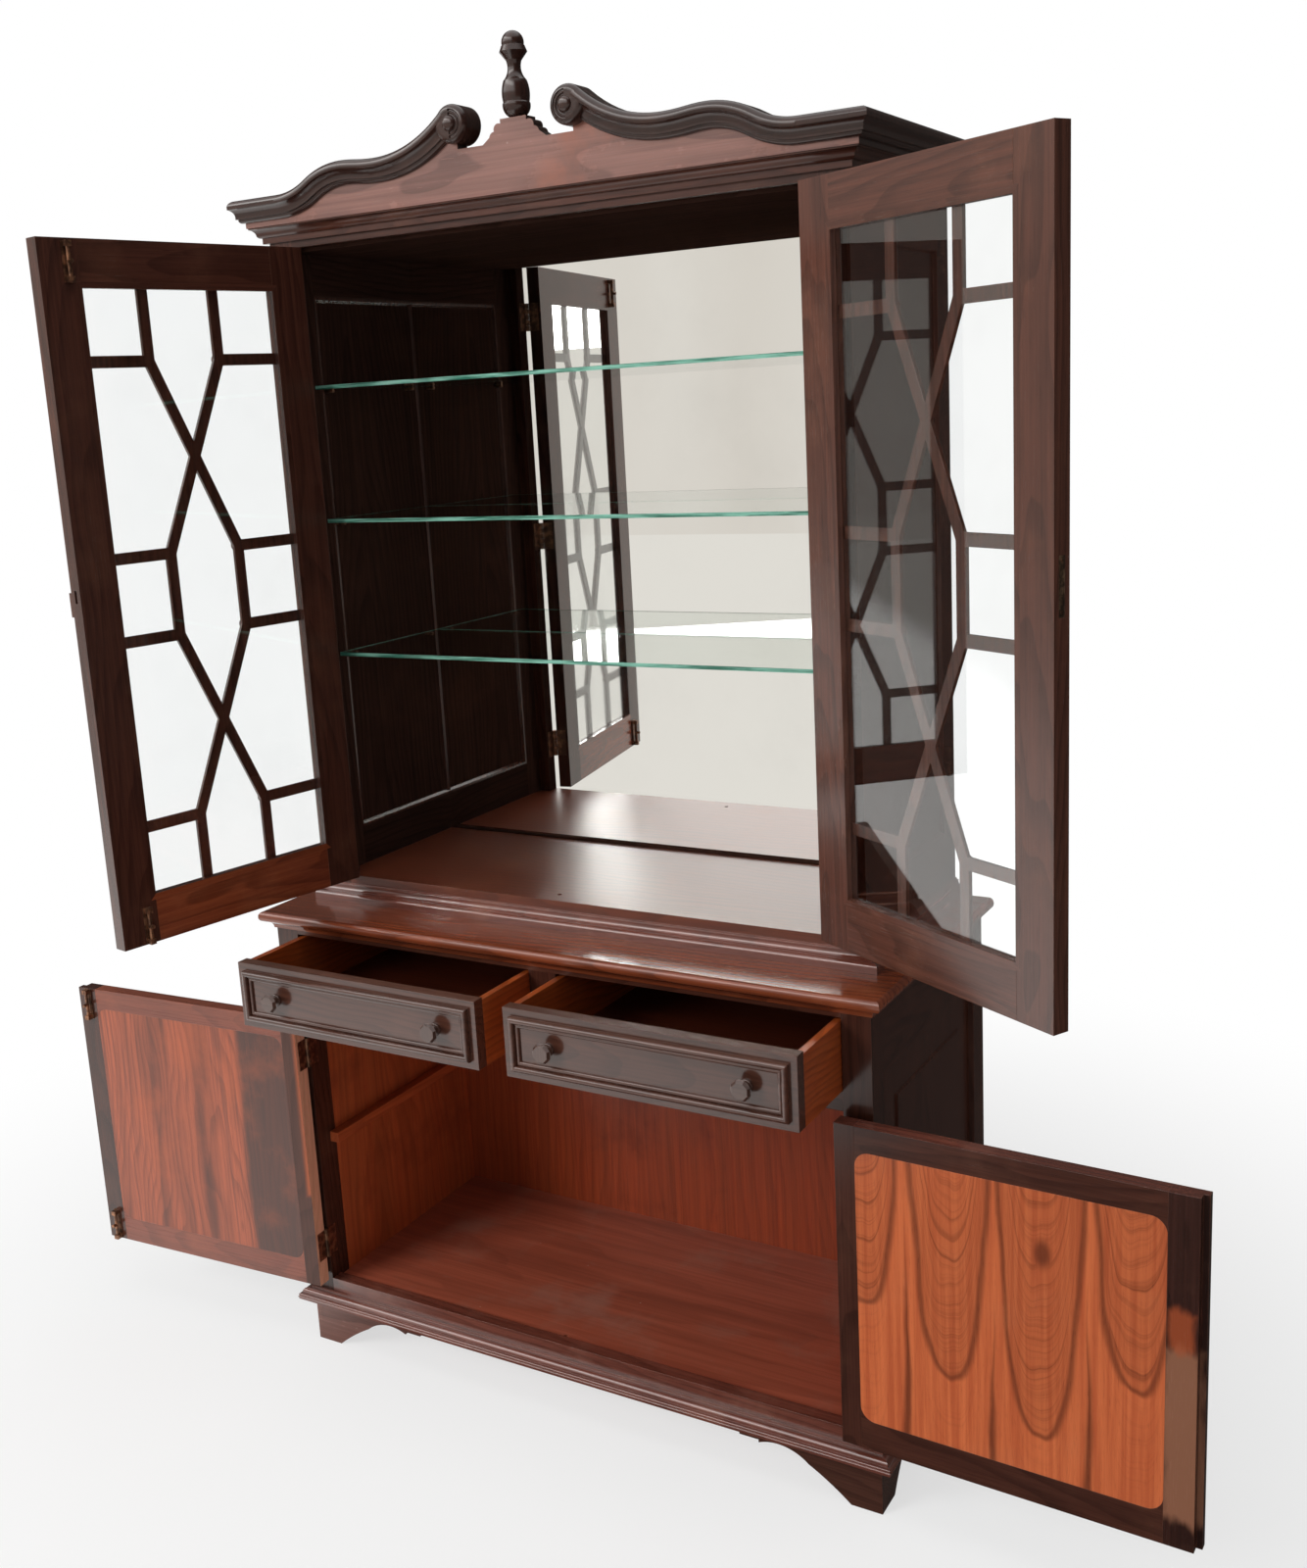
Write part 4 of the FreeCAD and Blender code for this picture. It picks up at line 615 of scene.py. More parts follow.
WOODS = (
    Wood(
        "dark_polish", (88, 49, 37), (54, 29, 22), (22, 12, 9), (122, 78, 58), roughness=0.25,
        spacing=0.011, tilt=0.05, figure=0.35, wear=0.14,
    ),
    Wood(
        "black_gloss", (64, 39, 32), (40, 24, 20), (18, 10, 8), (116, 78, 62), coat=0.3, figure=0.2,
        streaks=0.6, pores=0.25, wear=0.1, edge_wear=0.3,
    ),
    # A matt, unpolished dark wood, painted darker still for the shade inside the upper case: on the sides'
    # inner faces, the ceiling and the bead at the mirror's foot.
    Wood(
        "matt_dark_painted_shade", (70, 46, 38), (45, 30, 25), (21, 14, 11), (98, 64, 50), roughness=0.55, coat=0.0,
        specular=0.0, wear=0.12, edge_wear=0.3,
    ),
    Wood(
        "door_polish", (108, 64, 50), (70, 42, 33), (28, 16, 12), (132, 84, 62), roughness=0.27, coat=0.35,
        spacing=0.011, tilt=0.05, figure=0.35,
    ),
    Wood(
        "floor_polish", (120, 60, 37), (82, 37, 24), (42, 17, 12), (150, 96, 70), roughness=0.4, coat=0.6,
        coat_roughness=0.34, spacing=0.014, bend=1.2, figure=0.35,
    ),
    Wood(
        "red_polish", (146, 74, 44), (102, 45, 27), (52, 20, 13), (170, 108, 76), coat=0.4, spacing=0.014,
        bend=1.2, figure=0.4, wear=0.16,
    ),
    Wood(
        "rosy_mould", (132, 74, 60), (92, 48, 38), (44, 21, 16), (176, 126, 108), roughness=0.17, coat=1.0,
    ),
    Wood(
        "pale_figured", (142, 98, 87), (110, 72, 63), (54, 31, 27), (156, 88, 62), roughness=0.3, coat=0.6,
        coat_roughness=0.3, spacing=0.03, tilt=0.03, bend=2.2, figure=0.42, streaks=0.9, pores=0.3,
        wear=0.5, specks=0.25,
    ),
    Wood(
        "drawer_face", (102, 62, 49), (68, 41, 32), (28, 16, 13), (128, 86, 70), roughness=0.22, coat=0.55,
        streaks=0.6, pores=0.35, wear=0.12,
    ),
    Wood(
        "knob_polish", (92, 62, 52), (66, 43, 35), (34, 21, 17), (120, 86, 72), coat=0.7, streaks=0.6,
        pores=0.3,
    ),
    Wood(
        "matt_edge", (104, 70, 58), (78, 52, 43), (44, 28, 23), (128, 92, 76), roughness=0.5, coat=0.0,
        specular=0.1, figure=0.25, streaks=0.6, pores=0.3, wear=0.25,
    ),
    Wood(
        "side_lining", (214, 108, 60), (182, 80, 44), (106, 44, 26), (128, 56, 34), roughness=0.36,
        coat=0.15, spacing=0.02, bend=1.4, figure=0.22, streaks=0.8, pores=0.3, wear=0.55,
    ),
    Wood(
        "drawer_wood", (186, 90, 40), (150, 63, 25), (92, 36, 14), (196, 118, 70), roughness=0.42,
        coat=0.1, spacing=0.01, figure=0.4,
    ),
    Wood(
        "drawer_floor", (96, 42, 24), (68, 28, 17), (38, 15, 10), (110, 66, 48), roughness=0.45, coat=0.05,
    ),
    # The same lining as side_lining, only darker, on the inner face of the back.
    Wood(
        "darker_lining", (164, 72, 38), (126, 48, 25), (70, 27, 16), (96, 40, 25), roughness=0.36,
        coat=0.15, spacing=0.02, bend=1.4, figure=0.22, streaks=0.8, pores=0.3, wear=0.55,
    ),
    Wood(
        "cupboard_floor", (178, 94, 70), (142, 70, 50), (92, 43, 31), (158, 112, 96), roughness=0.34,
        spacing=0.05, bend=3.0, figure=0.2, streaks=1.0, pores=0.12, wear=0.6, specks=0.5,
    ),
    Wood(
        "hidden_wood", (126, 78, 50), (96, 54, 34), (58, 32, 22), (120, 92, 74), roughness=0.55, coat=0.0,
        figure=0.4, wear=0.3,
    ),
    Wood(
        "door_streaked", (190, 98, 66), (112, 62, 50), (54, 34, 30), (184, 96, 62), roughness=0.34,
        coat=0.12, spacing=0.014, tilt=0.02, bend=2.2, figure=0.32, streaks=1.4, wear=0.3,
        patches=(Patch((66, 44, 38), (0.0, -0.17, 0.0), (0.5, 0.067, 1.0), 0.88, 0.01),),
    ),
    Wood(
        "hinge_stile", (92, 58, 48), (70, 43, 35), (40, 24, 19), (124, 78, 60), roughness=0.36, coat=0.05,
        specular=0.2, streaks=0.6,
        # An orange strip along the upper part of the stile's outer edge.
        patches=(Patch((204, 104, 58), (0.085, -0.0125, 0.0), (0.16, 0.0045, 1.0), 0.9, 0.004),),
    ),
    Wood(
        "door_frame_red", (154, 84, 62), (120, 60, 44), (72, 36, 28), (172, 96, 66), roughness=0.32,
        streaks=0.8, wear=0.35,
    ),
    # Pale edge wood, painted lighter still so that the door's hinge edge, which faces away from the key
    # lamp, looks as bright as a lit face.
    Wood(
        "door_edge", (236, 176, 146), (226, 160, 128), (184, 122, 94), (240, 190, 162), roughness=0.42,
        coat=0.08, figure=0.35, wear=0.3,
    ),
    Wood(
        "faded_stile", (78, 44, 36), (46, 27, 22), (22, 12, 9), (150, 100, 78), roughness=0.28,
        streaks=0.6, wear=0.16,
        patches=(
            Patch((146, 98, 74), (-0.085, 0.002, 0.0), (0.125, 0.03, 1.0), 0.9, 0.02),
            Patch((168, 80, 44), (0.06, 0.004, 0.0), (0.03, 0.02, 1.0), 0.7, 0.02),
        ),
    ),
    Wood(
        "matched_veneer", (212, 112, 66), (186, 90, 52), (96, 45, 27), (194, 122, 84), roughness=0.26,
        coat=0.3, figure=0.5, streaks=0.6, wear=0.12, matched=True,
    ),
)
OTHERS = (
    Metal("bronze", tint(158, 112, 84), tint(88, 62, 48)),
    Metal("lock_metal", tint(140, 112, 88), tint(70, 56, 46), 0.38),
    Glass("clear_glass", (0.97, 0.985, 0.98)),
    Glass("shelf_glass", (0.90, 0.965, 0.94), 1.3),
    GlassEdge("shelf_edge", tint(128, 186, 166), tint(46, 104, 86)),
    Mirror("mirror_glass", (0.93, 0.92, 0.90)),
)


class Workshop:
    """All finishes, and the ways to lay grain on a piece."""

    def __init__(self) -> None:
        """Builds every material."""
        effects = Effects()
        self.materials = {wood.name: wood.build(effects) for wood in WOODS}
        self.grained = set(self.materials)
        self.materials.update({finish.name: finish.build() for finish in OTHERS})
        self.chance = random.Random(7)

    def lay_grain(self, piece: bpy.types.Object, turn: float = 0.0, run: Run = Run.LONGEST) -> None:
        """Writes where each board's grain lies into the mesh, board by board.

        Args:
            piece: The object, at rest.
            turn: Angle in degrees by which its door stands turned.
            run: Which way the grain runs.
        """
        mesh = piece.data
        local = self.turned_shut(mesh, turn)
        corners = np.empty(len(mesh.loops), int)
        mesh.loops.foreach_get("vertex_index", corners)
        counts = np.empty(len(mesh.polygons), int)
        mesh.polygons.foreach_get("loop_total", counts)
        board = self.boards(mesh)
        owner = np.repeat(board, counts)
        place = np.zeros((len(corners), 3))
        spot = np.zeros((len(corners), 3))
        tone = np.zeros(len(corners))
        orders = {Run.ACROSS: [0, 2, 1], Run.DEEP: [1, 0, 2], Run.UPRIGHT: [2, 0, 1]}
        for number in range(board.max() + 1):
            mask = owner == number
            points = local[corners[mask]]
            low, high = points.min(0), points.max(0)
            way = run
            if run is Run.LONGEST:
                way = (Run.ACROSS, Run.DEEP, Run.UPRIGHT)[int((high - low).argmax())]
            order = orders[way]
            middle = points[:, order] - ((high + low) / 2)[order]
            shift = [self.chance.uniform(*reach) for reach in ((-3, 3), (-0.04, 0.04), (0.03, 0.09))]
            spot[mask] = middle
            place[mask] = middle + np.array(shift)
            tone[mask] = self.chance.uniform(-1, 1)
        for name, kind, values in (
            (PLACE, "FLOAT_VECTOR", place), (SPOT, "FLOAT_VECTOR", spot), (TONE, "FLOAT", tone),
        ):
            made = mesh.attributes.new(name, kind, "CORNER")
            made.data.foreach_set("value" if kind == "FLOAT" else "vector", values.ravel())

    def dress(self, piece: bpy.types.Object, finish: str, turn: float, rules: tuple[Rule, ...]) -> None:
        """Gives a piece its finish, and other finishes to the faces that the rules name.

        Args:
            piece: The object.
            finish: The finish of every face that no rule names.
            turn: Angle in degrees by which its door stands turned.
            rules: The rules, of which the first that fits a face counts.
        """
        mesh = piece.data
        mesh.materials.clear()
        mesh.materials.append(self.materials[finish])
        if not rules:
            return
        for rule in rules:
            mesh.materials.append(self.materials[rule.finish])
        local = self.turned_shut(mesh, turn)
        spin = self.spin(turn)
        board = self.boards(mesh)
        faces: dict[int, list[bpy.types.MeshPolygon]] = {}
        for face in mesh.polygons:
            faces.setdefault(int(board[face.index]), []).append(face)
        for group in faces.values():
            points = local[[index for face in group for index in face.vertices]]
            low, high = points.min(0), points.max(0)
            for face in group:
                normal = spin @ np.array(face.normal)
                seen = Face(low, high, normal, local[list(face.vertices)].mean(0))
                for number, rule in enumerate(rules, 1):
                    if rule.test(seen):
                        face.material_index = number
                        break

    @staticmethod
    def spin(turn: float) -> np.ndarray:
        """The matrix that turns a door shut."""
        angle = math.radians(-turn)
        c, s = math.cos(angle), math.sin(angle)
        return np.array([[c, -s, 0], [s, c, 0], [0, 0, 1]])

    def turned_shut(self, mesh: bpy.types.Mesh, turn: float) -> np.ndarray:
        """A mesh's points, with its door turned shut about the upright axis of the frame."""
        return self.points(mesh) @ self.spin(turn).T

    @staticmethod
    def points(mesh: bpy.types.Mesh) -> np.ndarray:
        """A mesh's points at rest."""
        co = np.empty(len(mesh.vertices) * 3)
        mesh.vertices.foreach_get("co", co)
        return co.reshape(-1, 3)

    def boards(self, mesh: bpy.types.Mesh) -> np.ndarray:
        """Finds which board each face belongs to: faces that share an edge that only two faces have.

        Args:
            mesh: The mesh.

        Returns:
            The number of each face's board.
        """
        _, spot = np.unique(np.round(self.points(mesh), 6), axis=0, return_inverse=True)
        spot = spot.ravel()
        edges: dict[tuple[int, int], list[int]] = {}
        for face in mesh.polygons:
            ring = [int(spot[v]) for v in face.vertices]
            for a, b in zip(ring, ring[1:] + ring[:1]):
                edges.setdefault((a, b) if a < b else (b, a), []).append(face.index)
        root = list(range(len(mesh.polygons)))

        def find(item: int) -> int:
            """The first face of a face's set."""
            while root[item] != item:
                root[item] = root[root[item]]
                item = root[item]
            return item

        for faces in edges.values():
            if len(faces) == 2:
                root[find(faces[0])] = find(faces[1])
        heads = [find(index) for index in range(len(root))]
        _, numbers = np.unique(heads, return_inverse=True)
        return numbers.ravel()


@dataclass
class Studio:
    """Floor, light and camera."""

    floor_size: float = 30.0
    eye: Triple = (1.32095, -1.97977, 1.59541)
    focal_pixels: float = 1639.26
    principal: tuple[float, float] = (637.72, 768.07)
    picture: tuple[int, int] = (1334, 1600)
    right: Triple = (0.86201, 0.50387, -0.05516)
    ahead: Triple = (-0.50335, 0.83809, -0.21032)
    up: Triple = (-0.05974, 0.20906, 0.97607)
    cream: Triple = tint(230, 228, 222)
    cream_fold: Triple = tint(216, 211, 203)
    white: Triple = (1.0, 1.0, 1.0)
    aim: Triple = (0.0, 0.0, 1.0)
    lamps: tuple[tuple[str, Triple, float, float], ...] = (
        ("lamp_key", (-2.2, -3.6, 2.7), 1.8, 125.0),
        ("lamp_fill", (2.8, -3.0, 2.6), 2.6, 9.0),
        ("lamp_top", (0.2, -0.8, 4.2), 2.2, 40.0),
    )

    def build(self) -> None:
        """Sets up the whole studio."""
        scene = bpy.context.scene
        scene.view_settings.view_transform = "Standard"
        self.make_camera(scene)
        self.make_floor()
        self.make_world(scene)
        for lamp in self.lamps:
            self.make_lamp(*lamp)

    def make_camera(self, scene: bpy.types.Scene) -> None:
        """Places the camera by the photograph's view of the cabinet."""
        data = bpy.data.cameras.new("camera")
        data.sensor_fit = "VERTICAL"
        data.sensor_height = 36.0
        width, height = self.picture
        data.lens = self.focal_pixels * data.sensor_height / height
        data.shift_x = (width / 2 - self.principal[0]) / height
        data.shift_y = (self.principal[1] - height / 2) / height
        camera = bpy.data.objects.new("camera", data)
        right, ahead, up = Vector(self.right), Vector(self.ahead), Vector(self.up)
        frame = Matrix((right, up, -ahead)).transposed().to_4x4()
        camera.matrix_world = Matrix.Translation(self.eye) @ frame
        scene.collection.objects.link(camera)
        scene.camera = camera

    @staticmethod
    def rays(w: Wiring) -> tuple[Socket, Socket]:
        """Tells how a ray came to the floor or the surround.

        Args:
            w: The wiring of the material.

        Returns:
            Whether it comes from the camera or through glass, and whether it has left more glossy
            surfaces than matt ones, so that it shows what gloss mirrors.
        """
        rays = w.add("ShaderNodeLightPath").outputs
        seen = w.maths("MAXIMUM", rays["Is Camera Ray"], rays["Is Transmission Ray"])
        bounced = w.maths("GREATER_THAN", w.less(rays["Glossy Depth"], rays["Diffuse Depth"]), 0.5)
        return seen, bounced

    def make_floor(self) -> None:
        """A pale floor that keeps the cabinet's shadow and turns white far away. To gloss it shows a dark
        band near the cabinet, a cream cloth beyond, and a painted pool of light at the front left.
        """
        half = self.floor_size / 2
        mesh = bpy.data.meshes.new("studio_floor")
        corners = [(-half, -half, 0), (half, -half, 0), (half, half, 0), (-half, half, 0)]
        mesh.from_pydata(corners, [], [(0, 1, 2, 3)])
        floor = bpy.data.objects.new("studio_floor", mesh)
        bpy.context.scene.collection.objects.link(floor)
        material, w, shader = start_material("studio_floor")
        w.feed(shader, {"Base Color": (0.88, 0.88, 0.87), "Roughness": 0.9})
        spot = w.where()
        seen, bounced = self.rays(w)
        far = w.vector("LENGTH", spot, output="Value")
        share = w.times(w.span(far, 0.7, 2.2, 0.65, 1.0), seen)
        share = w.maths("MAXIMUM", share, bounced)
        left = w.vector("DOT_PRODUCT", spot, (-0.9, -0.43, 0.0), output="Value")
        deep = w.parts(spot)[1]
        # A pool of painted light on the floor, 1.8 times white and seen only in gloss, for the sheen on the
        # cabinet's front faces.
        light_pool = w.times(w.span(left, 0.4, 0.8), w.span(deep, -2.1, -1.75))
        cloth = w.mix(w.span(deep, -1.6, -2.1), (0.04, 0.039, 0.037), self.cream)
        cloth = w.mix(light_pool, cloth, (1.8, 1.78, 1.74))
        glow = w.add("ShaderNodeEmission", {"Color": w.mix(bounced, self.white, cloth), "Strength": 1.0})
        both = w.add("ShaderNodeMixShader", {0: share, 1: shader.outputs[0], 2: glow.outputs[0]})
        w.feed(material.node_tree.nodes["Material Output"], {"Surface": both.outputs[0]})
        mesh.materials.append(material)

    def make_world(self, scene: bpy.types.Scene) -> None:
        """A white surround as seen, a cream cloth in front for gloss to show, and even light."""
        world = bpy.data.worlds.new("studio")
        scene.world = world
        world.use_nodes = True
        w = Wiring(world.node_tree)
        back = world.node_tree.nodes["Background"]
        seen, bounced = self.rays(w)
        seen = w.times(seen, w.less(1.0, bounced))
        way = w.where("Generated")
        cloth = w.span(w.vector("DOT_PRODUCT", way, (-0.50, -0.86, 0.0), output="Value"), 0.35, 0.75)
        fold = w.span(w.streaky(way, (5.0, 5.0, 0.8), 3.0), 0.4, 0.7)
        cream = w.mix(fold, self.cream, self.cream_fold)
        height = w.parts(way)[2]
        lamp = w.times(w.span(height, 0.17, 0.26), w.span(height, 0.80, 0.70))
        cream = w.mix(lamp, cream, (2.9, 2.88, 2.82))
        window = w.times(w.span(height, 0.47, 0.52), w.span(height, 0.70, 0.64))
        cream = w.mix(window, cream, (7.0, 6.95, 6.8))
        gloss = w.mix(cloth, (0.06, 0.058, 0.055), cream)
        gloss = w.mix(w.span(height, 0.60, 0.85), gloss, (1.6, 1.6, 1.6))
        level = w.mix(bounced, (0.30, 0.30, 0.30), gloss)
        w.feed(back, {"Color": w.mix(seen, level, self.white), "Strength": 1.0})

    def make_lamp(self, name: str, place: Triple, size: float, power: float) -> None:
        """Hangs a soft square lamp.

        Args:
            name: The lamp's name.
            place: Where it hangs.
            size: Its side in metres.
            power: Its power in watts.
        """
        data = bpy.data.lights.new(name, "AREA")
        data.size = size
        data.energy = power
        lamp = bpy.data.objects.new(name, data)
        lamp.location = place
        lamp.visible_glossy = False
        lamp.rotation_euler = (Vector(self.aim) - Vector(place)).to_track_quat("-Z", "Y").to_euler()
        bpy.context.scene.collection.objects.link(lamp)


@dataclass
class Assembly:
    """A part of the cabinet that is dressed together."""

    workshop: Workshop
    nodes: dict[str, bpy.types.Object]
    turn: float = 0.0

    def finish(self, name: str, finish: str, run: Run = Run.LONGEST, rules: tuple[Rule, ...] = ()) -> None:
        """Lays the grain of one CAD node, dresses it and reports it.

        Args:
            name: The node.
            finish: Its finish.
            run: The way of its grain.
            rules: Other finishes for some of its faces.
        """
        piece = self.nodes[name]
        if finish in self.workshop.grained:
            self.workshop.lay_grain(piece, self.turn, run)
        self.workshop.dress(piece, finish, self.turn, rules)
        LOG.info("dressed %s in %s", name, finish)

    def finish_all(
        self, finish: str, *names: str, run: Run = Run.LONGEST, rules: tuple[Rule, ...] = ()
    ) -> None:
        """Finishes several nodes alike."""
        for name in names:
            self.finish(name, finish, run, rules)


@dataclass
class Screws(Assembly):
    """Slotted screws of the hinges, bolts and lock, as one mesh for each body."""

    body: str = "case"
    pin: tuple[float, float] = (0.0, 0.0)
    segments: int = 10
    slot_share: float = 0.16
    dome_share: float = 0.10
    slot_turn: float = 0.7
    hinge_head: float = 0.0023
    plate_head: float = 0.0011
    lock_head: float = 0.0022
    plate_thick: float = 0.0015
    plate_offset: float = 0.0049
    lock_inset: float = 0.006
    heads: list[tuple[Triple, Triple, float]] = field(default_factory=list)

    def hinge_leaves(self, face_x: float, front_y: float, heights: tuple[float, ...], facing: float) -> None:
        """Adds three screws to each hinge leaf.

        Args:
            face_x: Where the leaves' outer faces lie, with the door shut.
            front_y: The front edge of the leaves.
            heights: Middles of the hinges.
            facing: 1 for leaves that face +x and -1 for -x.
        """
        for z in heights:
            for step, deep in ((-0.017, 0.0125), (0.0, 0.0065), (0.017, 0.0125)):
                self.heads.append(((face_x, front_y + deep, z + step), (facing, 0.0, 0.0), self.hinge_head))

    def bolt_plate(self, low: np.ndarray, high: np.ndarray) -> None:
        """Adds four screws to a bolt's plate, beside its rod.

        Args:
            low: The plate's lowest corner, with the door shut.
            high: Its highest corner.
        """
        middle = (low[0] + high[0]) / 2
        for share in (0.25, 0.75):
            z = low[2] + (high[2] - low[2]) * share
            for side in (-self.plate_offset, self.plate_offset):
                place = (middle + side, low[1] + self.plate_thick, z)
                self.heads.append((place, (0.0, 1.0, 0.0), self.plate_head))

    def lock_face(self, low: np.ndarray, high: np.ndarray) -> None:
        """Adds a screw at each end of the lock's face, in the free edge of its door.

        Args:
            low: The lock's lowest corner, with the door shut.
            high: Its highest corner.
        """
        for z in (low[2] + self.lock_inset, high[2] - self.lock_inset):
            self.heads.append(((low[0], (low[1] + high[1]) / 2, z), (-1.0, 0.0, 0.0), self.lock_head))

    def build(self) -> None:
        """Makes the mesh, turned with its door, and lets it ride on its body."""
        mesh = bmesh.new()
        for number, (place, facing, radius) in enumerate(self.heads):
            self.add_head(mesh, Vector(place), Vector(facing), radius, self.slot_turn * number)
        x, y = self.pin
        if self.turn:
            spin = Matrix.Rotation(math.radians(self.turn), 4, "Z")
            move = Matrix.Translation((x, y, 0)) @ spin @ Matrix.Translation((-x, -y, 0))
            bmesh.ops.transform(mesh, matrix=move, verts=mesh.verts)
        data = bpy.data.meshes.new(self.body + "_screws")
        mesh.to_mesh(data)
        mesh.free()
        piece = bpy.data.objects.new(self.body + "_screws", data)
        bpy.context.scene.collection.objects.link(piece)
        data.materials.append(self.workshop.materials["bronze"])
        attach(piece, self.body)
        LOG.info("made %d screws on %s", len(self.heads), self.body)

    def add_head(
        self, mesh: bmesh.types.BMesh, place: Vector, facing: Vector, radius: float, angle: float
    ) -> None:
        """Adds one low domed head, cut by a slot.

        Args:
            mesh: The mesh to add to.
            place: Middle of the head on its plate.
            facing: The way it faces.
            radius: Its radius.
            angle: How its slot lies.
        """
        frame = facing.to_track_quat("Z", "Y").to_matrix().to_4x4()
        frame = Matrix.Translation(place) @ frame @ Matrix.Rotation(angle, 4, "Z")
        slot = radius * self.slot_share
        dome = radius * self.dome_share
        for side in (1, -1):
            rings = []
            for share, lift in ((1.0, 0.0), (0.96, 0.45), (0.62, 0.88), (0.0, 1.0)):
                ring = []
                for step in range(self.segments + 1):
                    turn = math.pi * step / self.segments
                    point = Vector((
                        radius * share * math.cos(turn),
                        side * max(slot, radius * share * math.sin(turn)),
                        dome * lift,
                    ))
                    ring.append(mesh.verts.new(frame @ point))
                rings.append(ring)
            for outer, inner in zip(rings, rings[1:]):
                for a, b, c, d in zip(outer, outer[1:], inner[1:], inner):
                    mesh.faces.new((a, b, c, d) if side > 0 else (d, c, b, a))


@dataclass
class LowerCase(Assembly):
    """The lower case, its mouldings and its feet."""

    lining_x: float = 0.4906
    case_x: float = 0.513
    sill_top: float = 0.1275

    def build(self) -> None:
        """Dresses the lower case."""
        lining = Rule("side_lining", lambda face: (
            max(abs(face.low[0]), abs(face.high[0])) < self.case_x and abs(face.normal[0]) > FACING
            and abs(face.middle[0]) < self.lining_x
        ))
        sill = Rule("rosy_mould", lambda face: face.high[2] < self.sill_top)
        self.finish_all("dark_polish", "lower_side_right", "lower_side_left", rules=(lining,))
        self.finish("lower_front_rails", "dark_polish", rules=(sill,))
        self.finish("base_mould", "rosy_mould")
        # The left front foot takes the paler finish, painted lighter than the right foot for the sheen and
        # light that fall on it from the front left.
        self.finish("foot_front_left", "pale_figured", Run.ACROSS)
        self.finish_all("drawer_face", "foot_front_right", "feet_rear", run=Run.ACROSS)
        self.finish_all("red_polish", "lower_top", "lower_top_mould")
        self.finish("lower_floor", "cupboard_floor")
        # The back's inner face takes the darker copy of the lining.
        inside = Rule("darker_lining", lambda face: face.normal[1] < -FACING)
        self.finish("lower_back", "hidden_wood", Run.UPRIGHT, rules=(inside,))
        self.finish("cupboard_battens", "side_lining")
        self.finish("drawer_board", "drawer_floor")
        self.finish("lower_case_hinges", "bronze")


@dataclass
class Drawer(Assembly):
    """One drawer."""

    side: str = "left"
    top_depth: float = 0.001
    floor_height: float = 0.02

    def build(self) -> None:
        """Dresses the drawer."""
        name = "drawer_" + self.side
        self.finish(name + "_front", "drawer_face", rules=(
            Rule("drawer_wood", lambda face: face.normal[1] > FACING),
            Rule("matt_edge", lambda face: (
                face.normal[2] > 0.9 and face.middle[2] > face.high[2] - self.top_depth
            )),
        ))
        self.finish(name + "_knobs", "knob_polish")
        self.finish(name + "_box", "drawer_wood", rules=(
            Rule("drawer_floor", lambda face: face.size[2] < self.floor_height),
        ))


@dataclass
class CupboardDoor(Assembly):
    """One solid door of the lower case."""

    side: str = "left"
    stile_height: float = 0.45
    hinge_stile_width: float = 0.034

    def build(self) -> None:
        """Dresses the door."""
        name = "lower_" + self.side + "_door"
        outside = Rule("dark_polish", lambda face: face.normal[1] < -0.3)
        if self.side == "left":
            # The door's hinge edge, painted light for the light that falls on it.
            edge = Rule("door_edge", lambda face: face.normal[0] < -FACING and self.at_hinges(face))
            hinge = Rule("hinge_stile", self.at_hinges)
            free = Rule("dark_polish", self.upright)
            self.finish(name + "_frame", "door_frame_red", rules=(outside, edge, hinge, free))
            self.finish(name + "_panel", "door_streaked", Run.UPRIGHT, rules=(outside,))
            self.finish_all("bronze", *(f"lower_left_bolt_{part}" for part in BOLT_PARTS))
        else:
            faded = Rule("faded_stile", lambda face: (
                self.upright(face) and face.normal[1] > FACING and not self.at_hinges(face)
            ))
            top = Rule("rosy_mould", lambda face: face.normal[2] > FACING)
            self.finish(name + "_frame", "dark_polish", rules=(faded, top))
            self.finish(name + "_panel", "matched_veneer", Run.UPRIGHT, rules=(outside,))
        self.finish(name + "_hinges", "bronze")

    def upright(self, face: Face) -> bool:
        """Whether a face is on a stile."""
        return bool(face.size[2] > self.stile_height)

    def at_hinges(self, face: Face) -> bool:
        """Whether a face is on the stile at the hinges, by how narrow it is."""
        return self.upright(face) and bool(face.size[0] < self.hinge_stile_width)


@dataclass
class UpperCase(Assembly):
    """The upper case with its mirror and shelves."""

    side_middle: float = 0.481
    panel_reach: float = 0.0063
    slip_depth: float = 0.006
    slip_length: float = 0.5
    bead_height: float = 0.01

    def build(self) -> None:
        """Dresses the upper case."""
        slip = Rule("dark_polish", lambda face: (
            face.size[0] < self.slip_depth and face.size[2] > self.slip_length
            and abs(abs(face.middle[0]) - self.side_middle) > self.panel_reach
        ))
        for name, side in (("upper_side_right", 1.0), ("upper_side_left", -1.0)):
            # The inner faces of the sides take painted shade, a darker matt wood.
            inside = Rule("matt_dark_painted_shade", lambda face, side=side: face.normal[0] * side < -FACING)
            self.finish(name, "dark_polish", rules=(slip, inside))
        self.finish("upper_base_mould", "rosy_mould")
        self.finish("architrave_mould", "dark_polish")
        self.finish("upper_floor", "floor_polish")
        self.finish("frieze_rail", "dark_polish")
        # The bead at the mirror's foot takes painted shade, dark and matt.
        bead = Rule("matt_dark_painted_shade", lambda face: face.size[2] < self.bead_height)
        self.finish("upper_back", "hidden_wood", rules=(bead,))
        # The ceiling takes painted shade, dark and matt.
        self.finish("upper_ceiling", "matt_dark_painted_shade")
        self.finish("mirror", "mirror_glass", rules=(
            Rule("hidden_wood", lambda face: face.normal[1] > FACING),
        ))
        edge = Rule("shelf_edge", lambda face: abs(face.normal[2]) < FACING)
        self.finish_all("shelf_glass", "glass_shelf_1", "glass_shelf_2", "glass_shelf_3", rules=(edge,))
        self.finish_all("bronze", "shelf_pins", "upper_case_hinges")


